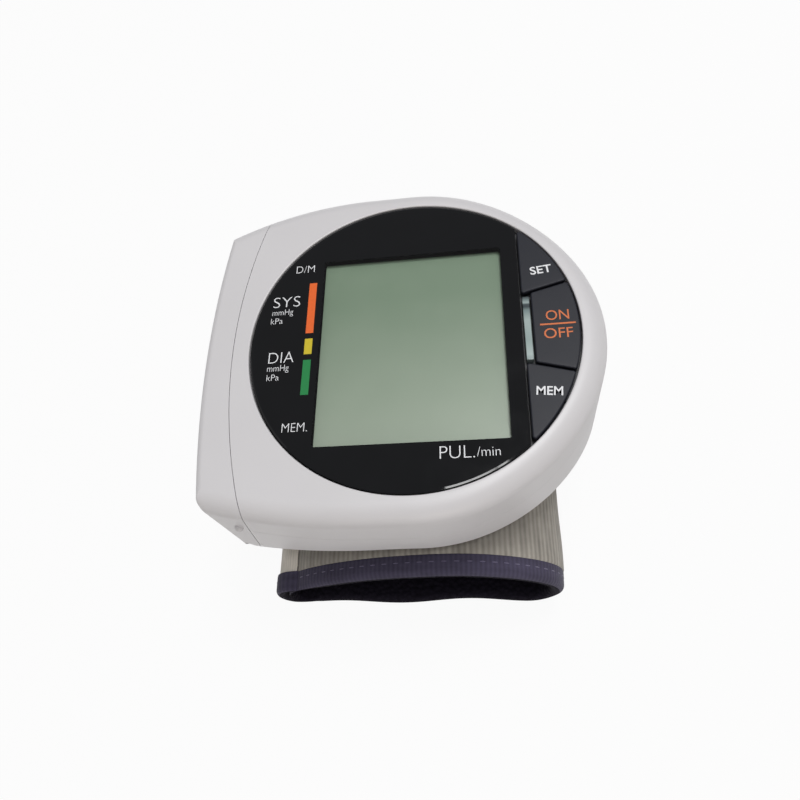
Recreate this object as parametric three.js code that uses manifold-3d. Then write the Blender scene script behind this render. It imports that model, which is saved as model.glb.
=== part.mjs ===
// Wrist blood pressure monitor: a case with a round black lens and three side buttons, held on a
// curved fabric wrist cuff. Millimetres. Pieces are placed from the centre of the lens, with X to the
// right of the display, Y to its top and Z out of its face.
import Module from 'manifold-3d';
import * as THREE from 'three';
import { mergeVertices } from 'three/addons/utils/BufferGeometryUtils.js';

const wasm = await Module();
wasm.setup();

// Clearances
const clearance = 0.3; // between pieces that sit in, pass through or slide past one another
const seatGap = 0.15; // under a piece that lies on its seat
const seamGap = 0.2; // parting lines of the case
const overcut = 1; // how far a cut or a root runs past the face that it starts from
const leastRadius = 0.1; // sharpest round of an inner edge

// Case
const rimWidth = 4.4; // case beyond the lens recess
const sideStraight = 8; // straight stretch of each side before it draws in
const sideRadius = 66; // drawn-in stretch of the upper side
const lowerSideRadius = 106; // drawn-in stretch of the lower side
const rimEase = 0.7; // how far the rim draws in on its slants
const endBow = 203; // bow of the battery end, seen from the front
const cornerRadius = 2; // corners of the battery end, seen from the front
const sideFillet = 3.5; // front edge of the sides and the rim
const endFillet = 1.5; // front edge of the battery end
const wall = 1.4;
const backDepth = 17.5; // front face to the crest of the hollow back
const backRadius = 90; // hollow of the back, which lies over the wrist
const backSides = 136; // facets of a whole turn of that hollow
const partingDepth = 9.7; // front face to the seam of the front and rear covers
const outlineDepth = 32; // deeper than any part of the case

// Lens and its recess
const lensThickness = 1.2;
const lensSink = 0.15; // lens below the front face
const lensBorder = 2.9; // lens beyond the window, beside the buttons
const deckThickness = 1.1; // floor that carries the lens
const deckLedge = 1.8; // deck beyond the recess

// Display
const windowWidth = 33.6;
const windowHeight = 38.9;
const windowDrop = 1.4; // window centre below the lens centre
const glassMargin = 1.2; // display glass beyond the window
const glassThickness = 2.2;
const holderRim = 0.7;
const holderHeight = 1.3;
const zebraWidth = 2;
const zebraInset = 1.3; // ends of the zebra strips within the window's sides

// Circuit board
const boardDepth = 5.4; // front face to the board's upper face
const boardThickness = 1;
const boardMargin = 1.8; // board beyond the middle of its upper screw
const boardGap = 2; // round side of the board to the wall
const boardScrewRadius = 0.6;
const boardScrewHeadRadius = 1.6;
const boardScrewHeadHeight = 0.8;

// Buttons
const buttonProud = 0.1; // caps above the front face
const lensToButtons = 0.5; // straight edge of the lens to that of the caps
const buttonWidth = 9.5; // caps from their straight edge to their round one
const buttonTravel = 0.5;
const buttonGap = 0.6; // between neighbouring caps
const buttonSlope = 15.5; // degrees, slant of the lines between the caps
const powerHalfHeight = 6.6; // half height of the middle cap at its straight edge
const tipTrim = 0.9; // sharp tips of the outer caps, cut back along their straight edge
const stemWidth = 3.6;
const stemLength = 5.2;
const stemInset = 3.8; // straight edge of the caps to the middle of their stems
const stemRise = 4.4; // lower edge of an outer cap to the middle of its stem
const lugThickness = 0.4;
const lugReach = 0.7;
const switchSide = 5.2;
const plungerRadius = 1.4;
const plungerHeight = 0.5;
const guideWidth = 1.2; // clear strip beside the power button
const guideLegWidth = 0.6; // leg of the strip, down to its lamp
const ledSide = 2;
const ledHeight = 1;

// Cells and contacts
const cellRadius = 5.25;
const cellLength = 44.5;
const cellNubRadius = 1.9;
const cellNubLength = 0.9;
const contactSpace = 2.25; // cell end to its contact plate
const contactThickness = 0.4;
const contactSide = 7;
const linkSide = 3; // bridge between the two plates of the link
const ribThickness = 1.2;
const springWire = 0.4;
const springTurns = 2.5;
const springSteps = 8; // steps in a turn
const springSides = 5;
const springWide = 3.4;
const springNarrow = 1.6;

const cellBeside = 3.47; // side of the display holder to the middle of the upper cell

// Battery cover
const coverLength = 5.5; // battery end to the middle of the cover's parting line on the face
const coverLineRadius = 104;
const coverLean = 0.169; // sideways lean of the parting line for each millimetre of depth
const tongueLength = 5;
const tongueThickness = 1.2;
const tongueHeight = 8;
const tongueDepth = 6;
const gripLength = 3.4;
const gripProud = 0.7;
const gripDepth = 19;
const notchRadius = 0.9; // fingernail notch in the lower edge of the cover's sides
const notchInset = 3.2; // battery end to that notch

// Air system under the board
const motorWidth = 12;
const motorHeight = 9.9;
const motorLength = 15;
const headLength = 11.5;
const pumpInset = 4.8; // middle of the button stems to the middle of the pump
const pumpY = -16; // lower end of the motor
const valveWidth = 8.5;
const valveHeight = 8.2;
const valveLength = 12;
const manifoldWidth = 7;
const manifoldHeight = 5;
const airX = 2;
const airY = 7;
const airDepth = 11.8; // front face to the line of the air ports
const spigotRadius = 1;
const spigotLength = 2.2;
const spigotSides = 12;
const tubeWall = 0.7;
const nippleRadius = 1.6;
const nippleBore = 0.8;
const sensorSide = 7;
const sensorHeight = 6.4;
const sensorY = -7;
const buzzerRadius = 4.5;
const buzzerHeight = 3.5;
const buzzerInset = 6.7; // divider beside the cells to the middle of the buzzer
const buzzerY = -13;

// Screws
const screwRadius = 0.9;
const screwHeadRadius = 1.8;
const screwHeadHeight = 1.2;
const screwSeatDepth = 13.5; // front face to the seat of the case screws' heads
const screwTipDepth = 5;
const screwSlotWidth = 0.4;
const screwSlotLength = 2.5;
const screwSlotDepth = 0.5;
const bossWall = 1;
const rightScrewX = 14;
const leftScrewInset = 2.7; // divider beside the cells to the middle of the left screws
const plateScrewX = 8;
const plateScrewY = 18;
const plateScrewBite = 2;

// Cuff. Its outline is seen from the lower side of the display, with heights above the table.
const cuffHalfWidth = 38.3;
const cuffCrestX = 3;
const cuffCrestHeight = 27;
const plateThickness = 2.5; // crest of the cuff to the crest of the hollow back
const cuffRight = 26.1;
const cuffRightHeight = 9.5;
const cuffLeft = -30.6;
const cuffLeftHeight = 8.2;
const cuffFlatRight = 18;
const cuffFlatLeft = -23.5;
const fabricThickness = 1.8;
const hemThickness = 0.9; // fabric inside the binding
const layerThickness = 0.8; // stiffener, bladder and lining
const bladderInset = 1; // bladder within the sides of the stiffener
const bindingWidth = 5;
const bindingWall = 0.6;
const bindingLift = 0.1; // binding above the table
const flapThickness = 1.15;
const hookThickness = 0.6;
const flapBindingWall = 0.3;
const plateHalfWidth = 28;
const plateLeft = -13;
const plateRight = 15;

// Front face, worked out from the window to the rim
const windowY = -windowDrop;
const glassHalfWidth = windowWidth / 2 + glassMargin;
const glassHalfHeight = windowHeight / 2 + glassMargin;
const holderHalfWidth = glassHalfWidth + clearance + holderRim;
const holderHalfHeight = glassHalfHeight + clearance + holderRim;
const lensChord = windowWidth / 2 + lensBorder; // lens centre to its straight edge
const buttonChord = lensChord + lensToButtons; // lens centre to the straight edge of the caps
const buttonRadius = buttonChord + buttonWidth;
const lensRadius = buttonRadius;
const lensRecessRadius = lensRadius + clearance;
const rimRadius = lensRecessRadius + rimWidth; // round end, about the lens
const deckRadius = lensRecessRadius + deckLedge;
const boardRadius = rimRadius - wall - boardGap;
const outerLow = powerHalfHeight + buttonGap;
const outerHigh = Math.sqrt(buttonRadius ** 2 - buttonChord ** 2) - tipTrim;
const stemX = buttonChord + stemInset;
const stemY = outerLow + stemRise;
const guideX = buttonChord + guideWidth / 2;
const guideHeight = 2 * powerHalfHeight - seamGap;
const pumpX = stemX - pumpInset;

// Depths from the front face, worked out from the stack of lens, deck and display
const lensBottom = -lensSink - lensThickness;
const deckTop = lensBottom - seatGap;
const deckBottom = deckTop - deckThickness;
const glassTop = deckTop - clearance / 2;
const glassBottom = glassTop - glassThickness;
const boardTop = -boardDepth;
const boardBottom = -boardDepth - boardThickness;
const standHeight = cuffCrestHeight + plateThickness + backDepth; // table to the front face

// Cells lie one below the other. The upper one is beside the display, and the lower one touches it and
// the hollow back, where two circles cross: one about the upper cell, one about the middle of the back.
const upperCellX = -holderHalfWidth - cellBeside;
const upperCellZ = deckBottom - clearance - cellRadius;
const cellPitch = 2 * cellRadius + clearance;
const floorRadius = backRadius + wall;
const floorReach = floorRadius + clearance + cellRadius;
const backCentre = -backDepth - backRadius;
const backSpan = Math.hypot(upperCellX, upperCellZ - backCentre);
const backAngle = Math.atan2(upperCellX, upperCellZ - backCentre);
const backTurn = Math.acos((floorReach ** 2 + backSpan ** 2 - cellPitch ** 2) / (2 * floorReach * backSpan));
const lowerCellX = floorReach * Math.sin(backAngle - backTurn);
const lowerCellZ = backCentre + floorReach * Math.cos(backAngle - backTurn);
const cellEnd = cellLength / 2;
const endSag = endBow - Math.sqrt(endBow ** 2 - cellEnd ** 2);
const caseReach = endSag + wall + clearance + cellRadius - lowerCellX; // lens centre to the battery end
const coverLine = caseReach - coverLength; // lens centre to the cover's parting line
const contactY = cellEnd + contactSpace;
const ribY = contactY + contactThickness + seatGap;
const bayRight = upperCellX + cellRadius + clearance;
const dividerRight = bayRight + ribThickness;

// Screws stand clear of the display, the pump and the cells
const screwBore = screwRadius + clearance;
const headBore = screwHeadRadius + clearance;
const bossRadius = headBore + bossWall;
const boardBore = boardScrewRadius + clearance;
const boardBoss = boardBore + bossWall;
const boardScrewX = pumpX + motorWidth / 2 + clearance + boardScrewHeadRadius;
const boardScrewY = windowY + holderHalfHeight + clearance + boardBoss;
const boardHalfHeight = boardScrewY + boardMargin;
const rightScrewReach = Math.sqrt((rimRadius - wall) ** 2 - rightScrewX ** 2);
const rightScrewY = rightScrewReach - bossRadius + clearance;
const leftScrewX = dividerRight + leftScrewInset;
const leftScrewY = ribY + ribThickness + clearance + bossRadius;
const boardScrews = [
  [boardScrewX, stemY / 2],
  [boardScrewX, -stemY / 2],
  [dividerRight + clearance + boardScrewHeadRadius, boardScrewY],
];
const caseScrews = [
  [rightScrewX, rightScrewY],
  [rightScrewX, -rightScrewY],
  [leftScrewX, leftScrewY],
  [leftScrewX, -leftScrewY],
];
const plateScrews = [
  [airX + plateScrewX, plateScrewY],
  [airX - plateScrewX, -plateScrewY],
];

// Shape helpers

function solid(geometry) {
  const bare = geometry.index ? geometry.toNonIndexed() : geometry.clone();
  bare.deleteAttribute('normal');
  bare.deleteAttribute('uv');
  const merged = mergeVertices(bare, 1e-4);
  const index = merged.index.array;
  const triangles = [];
  for (let i = 0; i < index.length; i += 3) {
    const [a, b, c] = [index[i], index[i + 1], index[i + 2]];
    if (a !== b && b !== c && c !== a) triangles.push(a, b, c);
  }
  const vertProperties = merged.attributes.position.array;
  const triVerts = new Uint32Array(triangles);
  return new wasm.Manifold(new wasm.Mesh({ numProp: 3, vertProperties, triVerts }));
}

function geometryOf(part) {
  const mesh = part.getMesh();
  const geometry = new THREE.BufferGeometry();
  geometry.setAttribute('position', new THREE.BufferAttribute(mesh.vertProperties, 3));
  geometry.setIndex(new THREE.BufferAttribute(mesh.triVerts, 1));
  geometry.computeVertexNormals();
  return geometry;
}

function box(x0, x1, y0, y1, z0, z1) {
  const geometry = new THREE.BoxGeometry(x1 - x0, y1 - y0, z1 - z0);
  return solid(geometry.translate((x0 + x1) / 2, (y0 + y1) / 2, (z0 + z1) / 2));
}

// A box about a point of the face, from its half sizes.
function block(x, y, halfX, halfY, z0, z1) {
  return box(x - halfX, x + halfX, y - halfY, y + halfY, z0, z1);
}

function rodZ(x, y, radius, z0, z1, sides = 20) {
  const geometry = new THREE.CylinderGeometry(radius, radius, z1 - z0, sides).rotateX(Math.PI / 2);
  return solid(geometry.translate(x, y, (z0 + z1) / 2));
}

function rodY(x, z, radius, y0, y1, sides = 20) {
  const geometry = new THREE.CylinderGeometry(radius, radius, y1 - y0, sides);
  return solid(geometry.translate(x, (y0 + y1) / 2, z));
}

function rodX(y, z, radius, x0, x1, sides = spigotSides) {
  const geometry = new THREE.CylinderGeometry(radius, radius, x1 - x0, sides).rotateZ(Math.PI / 2);
  return solid(geometry.translate((x0 + x1) / 2, y, z));
}

function extrudeZ(shape, z0, z1, curveSegments = 12) {
  const settings = { depth: z1 - z0, bevelEnabled: false, curveSegments };
  return solid(new THREE.ExtrudeGeometry(shape, settings).translate(0, 0, z0));
}

// A shape drawn in X and Z, carried along Y.
function extrudeY(shape, y0, y1, curveSegments = 12) {
  const settings = { depth: y1 - y0, bevelEnabled: false, curveSegments };
  return solid(new THREE.ExtrudeGeometry(shape, settings).rotateX(Math.PI / 2).translate(0, y1, 0));
}

// A closed skin over rings of equally many points, listed from the lowest ring to the highest.
function loft(rings) {
  const count = rings[0].points.length;
  const positions = [];
  for (const ring of rings) {
    for (const point of ring.points) positions.push(point.x, point.y, ring.z);
  }
  const index = [];
  for (let level = 0; level + 1 < rings.length; level += 1) {
    for (let i = 0; i < count; i += 1) {
      const a = level * count + i;
      const b = level * count + ((i + 1) % count);
      index.push(a, b, b + count, a, b + count, a + count);
    }
  }
  const last = (rings.length - 1) * count;
  for (const [a, b, c] of THREE.ShapeUtils.triangulateShape(rings[0].points, [])) index.push(a, c, b);
  for (const [a, b, c] of THREE.ShapeUtils.triangulateShape(rings.at(-1).points, [])) {
    index.push(last + a, last + b, last + c);
  }
  const geometry = new THREE.BufferGeometry();
  geometry.setAttribute('position', new THREE.Float32BufferAttribute(positions, 3));
  geometry.setIndex(index);
  return solid(geometry);
}

function arcPoints(cx, cy, radius, from, to, steps) {
  const points = [];
  for (let i = 0; i < steps; i += 1) {
    const angle = from + ((to - from) * i) / steps;
    points.push(new THREE.Vector2(cx + radius * Math.cos(angle), cy + radius * Math.sin(angle)));
  }
  return points;
}

// One side and half of the battery end, seen from the front with that side up. The corner is an arc
// that touches the side's arc and the end's arc.
function sideRing(radius, sideInset, endInset) {
  const sideCentre = new THREE.Vector2(-sideStraight, rimRadius - radius);
  const endCentre = new THREE.Vector2(endBow - caseReach, 0);
  const corner = Math.max(cornerRadius - Math.max(sideInset, endInset), leastRadius);
  const reachSide = radius - sideInset - corner;
  const reachEnd = endBow - endInset - corner;
  const across = endCentre.clone().sub(sideCentre);
  const span = across.length();
  const along = (reachSide ** 2 - reachEnd ** 2 + span ** 2) / (2 * span);
  const aside = Math.sqrt(reachSide ** 2 - along ** 2);
  const unit = across.divideScalar(span);
  const cornerCentre = new THREE.Vector2(
    sideCentre.x + unit.x * along - unit.y * aside,
    sideCentre.y + unit.y * along + unit.x * aside,
  );
  const sideAngle = cornerCentre.clone().sub(sideCentre).angle();
  const endAngle = cornerCentre.clone().sub(endCentre).angle();
  return [
    ...arcPoints(sideCentre.x, sideCentre.y, radius - sideInset, Math.PI / 2, sideAngle, 7),
    ...arcPoints(cornerCentre.x, cornerCentre.y, corner, sideAngle, endAngle, 3),
    ...arcPoints(endCentre.x, endCentre.y, endBow - endInset, endAngle, Math.PI, 5),
  ];
}

// Case outline, seen from the front, drawn in by one amount at the sides and rim and another at the
// battery end.
function caseRing(sideInset, endInset) {
  const upper = sideRing(sideRadius, sideInset, endInset);
  const lowerSide = sideRing(lowerSideRadius, sideInset, endInset);
  const lower = lowerSide.map((point) => new THREE.Vector2(point.x, -point.y)).reverse();
  const tip = new THREE.Vector2(endInset - caseReach, 0);
  const rim = arcPoints(0, 0, rimRadius - sideInset, -Math.PI / 2, Math.PI / 2, 32);
  for (const point of rim) point.setLength(point.length() - rimEase * Math.sin(2 * point.angle()) ** 2);
  const rimTop = new THREE.Vector2(0, rimRadius - sideInset);
  return [...rim, rimTop, ...upper, tip, ...lower];
}

function filletInset(z, radius) {
  const rise = z + radius;
  return rise <= 0 ? 0 : radius - Math.sqrt(Math.max(radius ** 2 - rise ** 2, 0));
}

// The whole case as one body, or its hollow when drawn in by the wall.
function caseBody(inset) {
  const sideRound = sideFillet - inset;
  const endRound = Math.max(endFillet - inset, leastRadius);
  const rings = [{ points: caseRing(inset, inset), z: -outlineDepth }];
  for (const degrees of [0, 22, 44, 66, 90]) {
    const z = sideRound * Math.sin(THREE.MathUtils.degToRad(degrees)) - sideRound;
    const points = caseRing(inset + filletInset(z, sideRound), inset + filletInset(z, endRound));
    rings.push({ points, z: z - inset });
  }
  return loft(rings).subtract(backHollow(backRadius + inset));
}

// Everything under the hollow back, as a large cylinder across the wrist.
function backHollow(radius) {
  return rodY(0, backCentre, radius, -2 * rimRadius, 2 * rimRadius, backSides);
}

function backHeight(x, radius = backRadius) {
  return backCentre + Math.sqrt(radius ** 2 - x ** 2);
}

// Half height of the case where one of its sides draws in.
function sideHalf(x, radius) {
  return rimRadius - radius + Math.sqrt(radius ** 2 - (x + sideStraight) ** 2);
}

// Everything on the battery side of the cover's bowed and leaning parting line.
function coverSide(shift) {
  const reach = rimRadius + sideFillet;
  const half = Math.asin(reach / coverLineRadius);
  const centre = coverLineRadius - coverLine + shift;
  const shape = new THREE.Shape();
  shape.absarc(centre, 0, coverLineRadius, Math.PI - half, Math.PI + half, false);
  shape.lineTo(-2 * caseReach, -reach);
  shape.lineTo(-2 * caseReach, reach);
  const settings = { depth: outlineDepth + clearance, bevelEnabled: false, curveSegments: 16 };
  const geometry = new THREE.ExtrudeGeometry(shape, settings).translate(0, 0, -outlineDepth);
  return solid(geometry.applyMatrix4(new THREE.Matrix4().makeShear(0, 0, 0, 0, coverLean, 0)));
}

// Materials
function finish(color, roughness, metalness = 0) {
  return new THREE.MeshStandardMaterial({ color, roughness, metalness });
}
const whitePlastic = finish('#cdcbce', 0.45);
const blackAcrylic = finish('#121418', 0.12);
const slatePlastic = finish('#383a44', 0.5);
const displayGlass = finish('#869a84', 0.25);
const holderPlastic = finish('#d8d8d4', 0.6);
const elastomer = finish('#5a4e58', 0.8);
const boardLaminate = finish('#1f5a38', 0.5);
const clearPlastic = finish('#c8d8d6', 0.15);
const blackPlastic = finish('#222326', 0.55);
const steel = finish('#b4b6b8', 0.35, 1);
const cellJacket = finish('#3c4a58', 0.4, 0.3);
const silicone = finish('#d4d0c6', 0.6);
const wovenFabric = finish('#96928a', 0.95);
const bindingTape = finish('#484458', 0.9);
const darkLining = finish('#17161a', 0.9);
const bladderSheet = finish('#a8a49a', 0.5);
const stiffSheet = finish('#c4c0b4', 0.5);

const monitor = new THREE.Group();
monitor.name = 'wrist_monitor';
const assembly = new THREE.Group();
assembly.position.set((caseReach - rimRadius) / 2, 0, standHeight);
monitor.add(assembly);

function place(name, part, material) {
  const mesh = new THREE.Mesh(geometryOf(part), material);
  mesh.name = name;
  assembly.add(mesh);
}

// A screw with a crossed slot in its head.
function screw(x, y, seatZ, tipZ, headDown = true) {
  const headZ = headDown ? seatZ - screwHeadHeight : seatZ + screwHeadHeight;
  const head = rodZ(x, y, screwHeadRadius, Math.min(seatZ, headZ), Math.max(seatZ, headZ), 16);
  const shank = rodZ(x, y, screwRadius, Math.min(seatZ, tipZ), Math.max(seatZ, tipZ), 10);
  const slotBottom = headZ - (headDown ? overcut : screwSlotDepth);
  const slotTop = headZ + (headDown ? screwSlotDepth : overcut);
  const slot = block(x, y, screwSlotLength / 2, screwSlotWidth / 2, slotBottom, slotTop);
  const cross = block(x, y, screwSlotWidth / 2, screwSlotLength / 2, slotBottom, slotTop);
  return head.add(shank).subtract(slot).subtract(cross);
}

// Button caps, as the slices of the round recess beside the lens

function capShape([edgeX, edgeTop, edgeBottom], [arcFrom, arcTo]) {
  const shape = new THREE.Shape();
  shape.moveTo(edgeX, edgeTop);
  shape.lineTo(edgeX, edgeBottom);
  shape.absarc(0, 0, buttonRadius, arcFrom, arcTo, false);
  shape.closePath();
  return shape;
}

// Direction from the lens centre to where a line from a point, at the given slope, meets the rim.
function rimAngle(x, y, angle) {
  const dx = Math.cos(angle);
  const dy = Math.sin(angle);
  const b = x * dx + y * dy;
  const reach = -b + Math.sqrt(b ** 2 - (x ** 2 + y ** 2 - buttonRadius ** 2));
  return Math.atan2(y + dy * reach, x + dx * reach);
}

const capTop = buttonProud;
const capBottom = deckTop + buttonTravel + clearance;
const stemBottom = deckBottom - clearance - lugThickness;
const switchTop = stemBottom - buttonTravel - seatGap;
const slope = THREE.MathUtils.degToRad(buttonSlope);
const powerEdgeX = buttonChord + guideWidth + clearance;
const powerAngle = rimAngle(buttonChord, powerHalfHeight, slope);
const powerEdgeY = powerHalfHeight + (powerEdgeX - buttonChord) * Math.tan(slope);
const outerAngle = rimAngle(buttonChord, outerLow, slope);
const tipAngle = Math.atan2(outerHigh, buttonChord);

function buttonStem(x, y) {
  const stemTop = (capTop + capBottom) / 2;
  const stem = block(x, y, stemWidth / 2, stemLength / 2, stemBottom, stemTop);
  const lugHalf = stemLength / 2 + lugReach;
  return stem.add(block(x, y, stemWidth / 4, lugHalf, stemBottom, stemBottom + lugThickness));
}

const setEdge = [buttonChord, outerHigh, outerLow];
const powerEdge = [powerEdgeX, powerEdgeY, -powerEdgeY];
const memoryEdge = [buttonChord, -outerLow, -outerHigh];
const buttons = [
  { name: 'set', y: stemY, edge: setEdge, arc: [outerAngle, tipAngle] },
  { name: 'power', y: 0, edge: powerEdge, arc: [-powerAngle, powerAngle] },
  { name: 'memory', y: -stemY, edge: memoryEdge, arc: [-tipAngle, -outerAngle] },
];

for (const button of buttons) {
  const cap = extrudeZ(capShape(button.edge, button.arc), capBottom, capTop, 8);
  place(`${button.name}_button`, cap.add(buttonStem(stemX, button.y)), slatePlastic);
  const half = switchSide / 2;
  const bodyTop = switchTop - plungerHeight;
  const body = block(stemX, button.y, half, half, boardTop + seatGap, bodyTop);
  const plunger = rodZ(stemX, button.y, plungerRadius, boardTop + seatGap, switchTop, 12);
  place(`${button.name}_switch`, body.add(plunger), blackPlastic);
}

// Front cover, rear cover and battery cover: one shell, parted at the seam and at the cover's line

const outerBody = caseBody(0);
const shell = outerBody.subtract(caseBody(wall));
const far = 2 * caseReach;
const frontHalf = box(-far, far, -far, far, seamGap / 2 - partingDepth, far);
const rearHalf = box(-far, far, -far, far, -far, -partingDepth - seamGap / 2);
const ownSide = coverSide(seamGap / 2);

function makeFrontCover() {
  let cover = shell.intersect(frontHalf);
  cover = cover.add(rodZ(0, 0, deckRadius, deckBottom, 0, 64).intersect(outerBody));
  for (const [x, y] of caseScrews) {
    cover = cover.add(rodZ(x, y, screwBore + bossWall, seamGap / 2 - partingDepth, -wall, 16));
  }
  for (const [x, y] of boardScrews) {
    cover = cover.add(rodZ(x, y, boardBoss, boardTop + seatGap, deckTop - seatGap, 14));
  }
  cover = cover.subtract(rodZ(0, 0, lensRecessRadius, deckTop, overcut, 72));
  const halfWidth = glassHalfWidth + clearance;
  const halfHeight = glassHalfHeight + clearance;
  cover = cover.subtract(block(0, windowY, halfWidth, halfHeight, deckBottom - overcut, deckTop + clearance));
  for (const button of buttons) {
    const halfX = stemWidth / 2 + clearance;
    const halfY = stemLength / 2 + clearance;
    cover = cover.subtract(block(stemX, button.y, halfX, halfY, deckBottom - overcut, overcut));
  }
  const legHalf = guideLegWidth / 2 + clearance;
  const legLength = ledSide / 2 + clearance;
  cover = cover.subtract(block(guideX, 0, legHalf, legLength, deckBottom - overcut, overcut));
  for (const [x, y] of caseScrews) {
    cover = cover.subtract(rodZ(x, y, screwBore, -partingDepth - overcut, clearance - screwTipDepth, 12));
  }
  for (const [x, y] of boardScrews) {
    cover = cover.subtract(rodZ(x, y, boardBore, boardTop - overcut, deckBottom, 10));
  }
  return cover.subtract(ownSide).intersect(outerBody);
}

function makeRearCover() {
  let cover = shell.intersect(rearHalf);
  for (const [x, y] of caseScrews) {
    const boss = rodZ(x, y, bossRadius, -outlineDepth, -partingDepth - seamGap / 2, 18);
    cover = cover.add(boss.intersect(outerBody));
  }
  for (const side of [-1, 1]) {
    const ribX = (dividerRight - caseReach) / 2;
    const ribHalf = (dividerRight + caseReach) / 2;
    const middle = side * (ribY + ribThickness / 2);
    const rib = block(ribX, middle, ribHalf, ribThickness / 2, -outlineDepth, deckBottom - clearance);
    cover = cover.add(rib.intersect(outerBody));
  }
  const dividerX = (bayRight + dividerRight) / 2;
  const dividerHalf = ribY + ribThickness / 2;
  const divider = block(dividerX, 0, ribThickness / 2, dividerHalf, -outlineDepth, boardBottom - clearance);
  cover = cover.add(divider.intersect(outerBody));
  for (const [x, y] of caseScrews) {
    cover = cover.subtract(rodZ(x, y, headBore, -outlineDepth, -screwSeatDepth, 16));
    cover = cover.subtract(rodZ(x, y, screwBore, -outlineDepth, 0, 12));
  }
  for (const [x, y] of plateScrews) cover = cover.subtract(rodZ(x, y, screwBore, -outlineDepth, 0, 12));
  cover = cover.subtract(rodZ(airX, airY, nippleRadius + clearance, -outlineDepth, -airDepth, 16));
  return cover.subtract(ownSide);
}

function makeBatteryCover() {
  const coverRegion = coverSide(-seamGap / 2);
  let cover = shell.intersect(coverRegion);
  const lineX = -coverLine + ribY ** 2 / (2 * coverLineRadius) - coverLean * (tongueDepth + tongueHeight);
  const rootX = -caseReach + cornerRadius + wall;
  const tipX = lineX + tongueLength;
  for (const [side, radius] of [[-1, lowerSideRadius], [1, sideRadius]]) {
    const outer = sideHalf(lineX, radius) - wall - clearance;
    const middle = side * (outer - tongueThickness / 2);
    const [z0, z1] = [-tongueDepth - tongueHeight, -tongueDepth];
    cover = cover.add(block((rootX + tipX) / 2, middle, (tipX - rootX) / 2, tongueThickness / 2, z0, z1));
  }
  const notchX = notchInset - caseReach;
  cover = cover.subtract(rodY(notchX, backHeight(notchX), notchRadius, -rimRadius, -ribY, 16));
  cover = cover.subtract(rodY(notchX, backHeight(notchX), notchRadius, ribY, rimRadius, 16));
  const grip = new THREE.SphereGeometry(1, 16, 10).scale(gripLength / 2, gripProud * 2, gripLength / 2);
  const gripX = -caseReach + cornerRadius + gripLength / 2;
  grip.translate(gripX, gripProud - sideHalf(gripX, lowerSideRadius), -gripDepth);
  return cover.add(solid(grip).intersect(coverRegion));
}

place('front_cover', makeFrontCover(), whitePlastic);
place('rear_cover', makeRearCover(), whitePlastic);
place('battery_cover', makeBatteryCover(), whitePlastic);

// Lens and display

function makeLens() {
  const angle = Math.acos(lensChord / lensRadius);
  const shape = new THREE.Shape();
  shape.absarc(0, 0, lensRadius, angle, 2 * Math.PI - angle, false);
  shape.closePath();
  return extrudeZ(shape, lensBottom, -lensSink, 48);
}
place('display_lens', makeLens(), blackAcrylic);

place('lcd_panel', block(0, windowY, glassHalfWidth, glassHalfHeight, glassBottom, glassTop), displayGlass);

function makeHolder() {
  const top = deckBottom - seatGap;
  const bottom = top - holderHeight;
  const innerX = glassHalfWidth + clearance;
  const innerY = glassHalfHeight + clearance;
  const frame = block(0, windowY, holderHalfWidth, holderHalfHeight, bottom, top);
  return frame.subtract(block(0, windowY, innerX, innerY, bottom - overcut, top + overcut));
}
place('lcd_holder', makeHolder(), holderPlastic);

for (const [name, side] of [['upper', 1], ['lower', -1]]) {
  const y = windowY + side * (glassHalfHeight - zebraWidth / 2);
  const [z0, z1] = [boardTop + seatGap, glassBottom - seatGap];
  const half = windowWidth / 2 - zebraInset;
  place(`zebra_strip_${name}`, block(0, y, half, zebraWidth / 2, z0, z1), elastomer);
}

// Clear strip beside the power button, with a leg down to its lamp
const ledTop = boardTop + seatGap + ledHeight;
const guideHead = block(guideX, 0, guideWidth / 2, guideHeight / 2, deckTop + seatGap, -lensSink);
const guideLeg = block(guideX, 0, guideLegWidth / 2, ledSide / 2, ledTop + clearance, deckTop + clearance);
place('indicator_light_guide', guideHead.add(guideLeg), clearPlastic);
const led = block(guideX, 0, guideWidth / 2, ledSide / 2, boardTop + seatGap, ledTop);
place('indicator_led', led, clearPlastic);

// Circuit board
function makeBoard() {
  const left = bayRight + clearance;
  let board = box(left, 2 * boardRadius, -boardHalfHeight, boardHalfHeight, boardBottom, boardTop);
  board = board.intersect(rodZ(0, 0, boardRadius, boardBottom - overcut, boardTop + overcut, 48));
  for (const [x, y] of boardScrews) board = board.subtract(rodZ(x, y, boardBore, -backDepth, 0, 10));
  const relief = bossRadius + clearance;
  for (const [x, y] of caseScrews) board = board.subtract(rodZ(x, y, relief, -backDepth, 0, 16));
  return board;
}
place('main_board', makeBoard(), boardLaminate);

boardScrews.forEach(([x, y], i) => {
  const seat = boardBottom - seatGap;
  const head = rodZ(x, y, boardScrewHeadRadius, seat - boardScrewHeadHeight, seat, 12);
  const shank = rodZ(x, y, boardScrewRadius, seat, deckBottom - clearance, 8);
  place(`board_screw_${i + 1}`, head.add(shank), steel);
});
caseScrews.forEach(([x, y], i) => {
  place(`case_screw_${i + 1}`, screw(x, y, -screwSeatDepth - seatGap, -screwTipDepth), steel);
});

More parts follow.
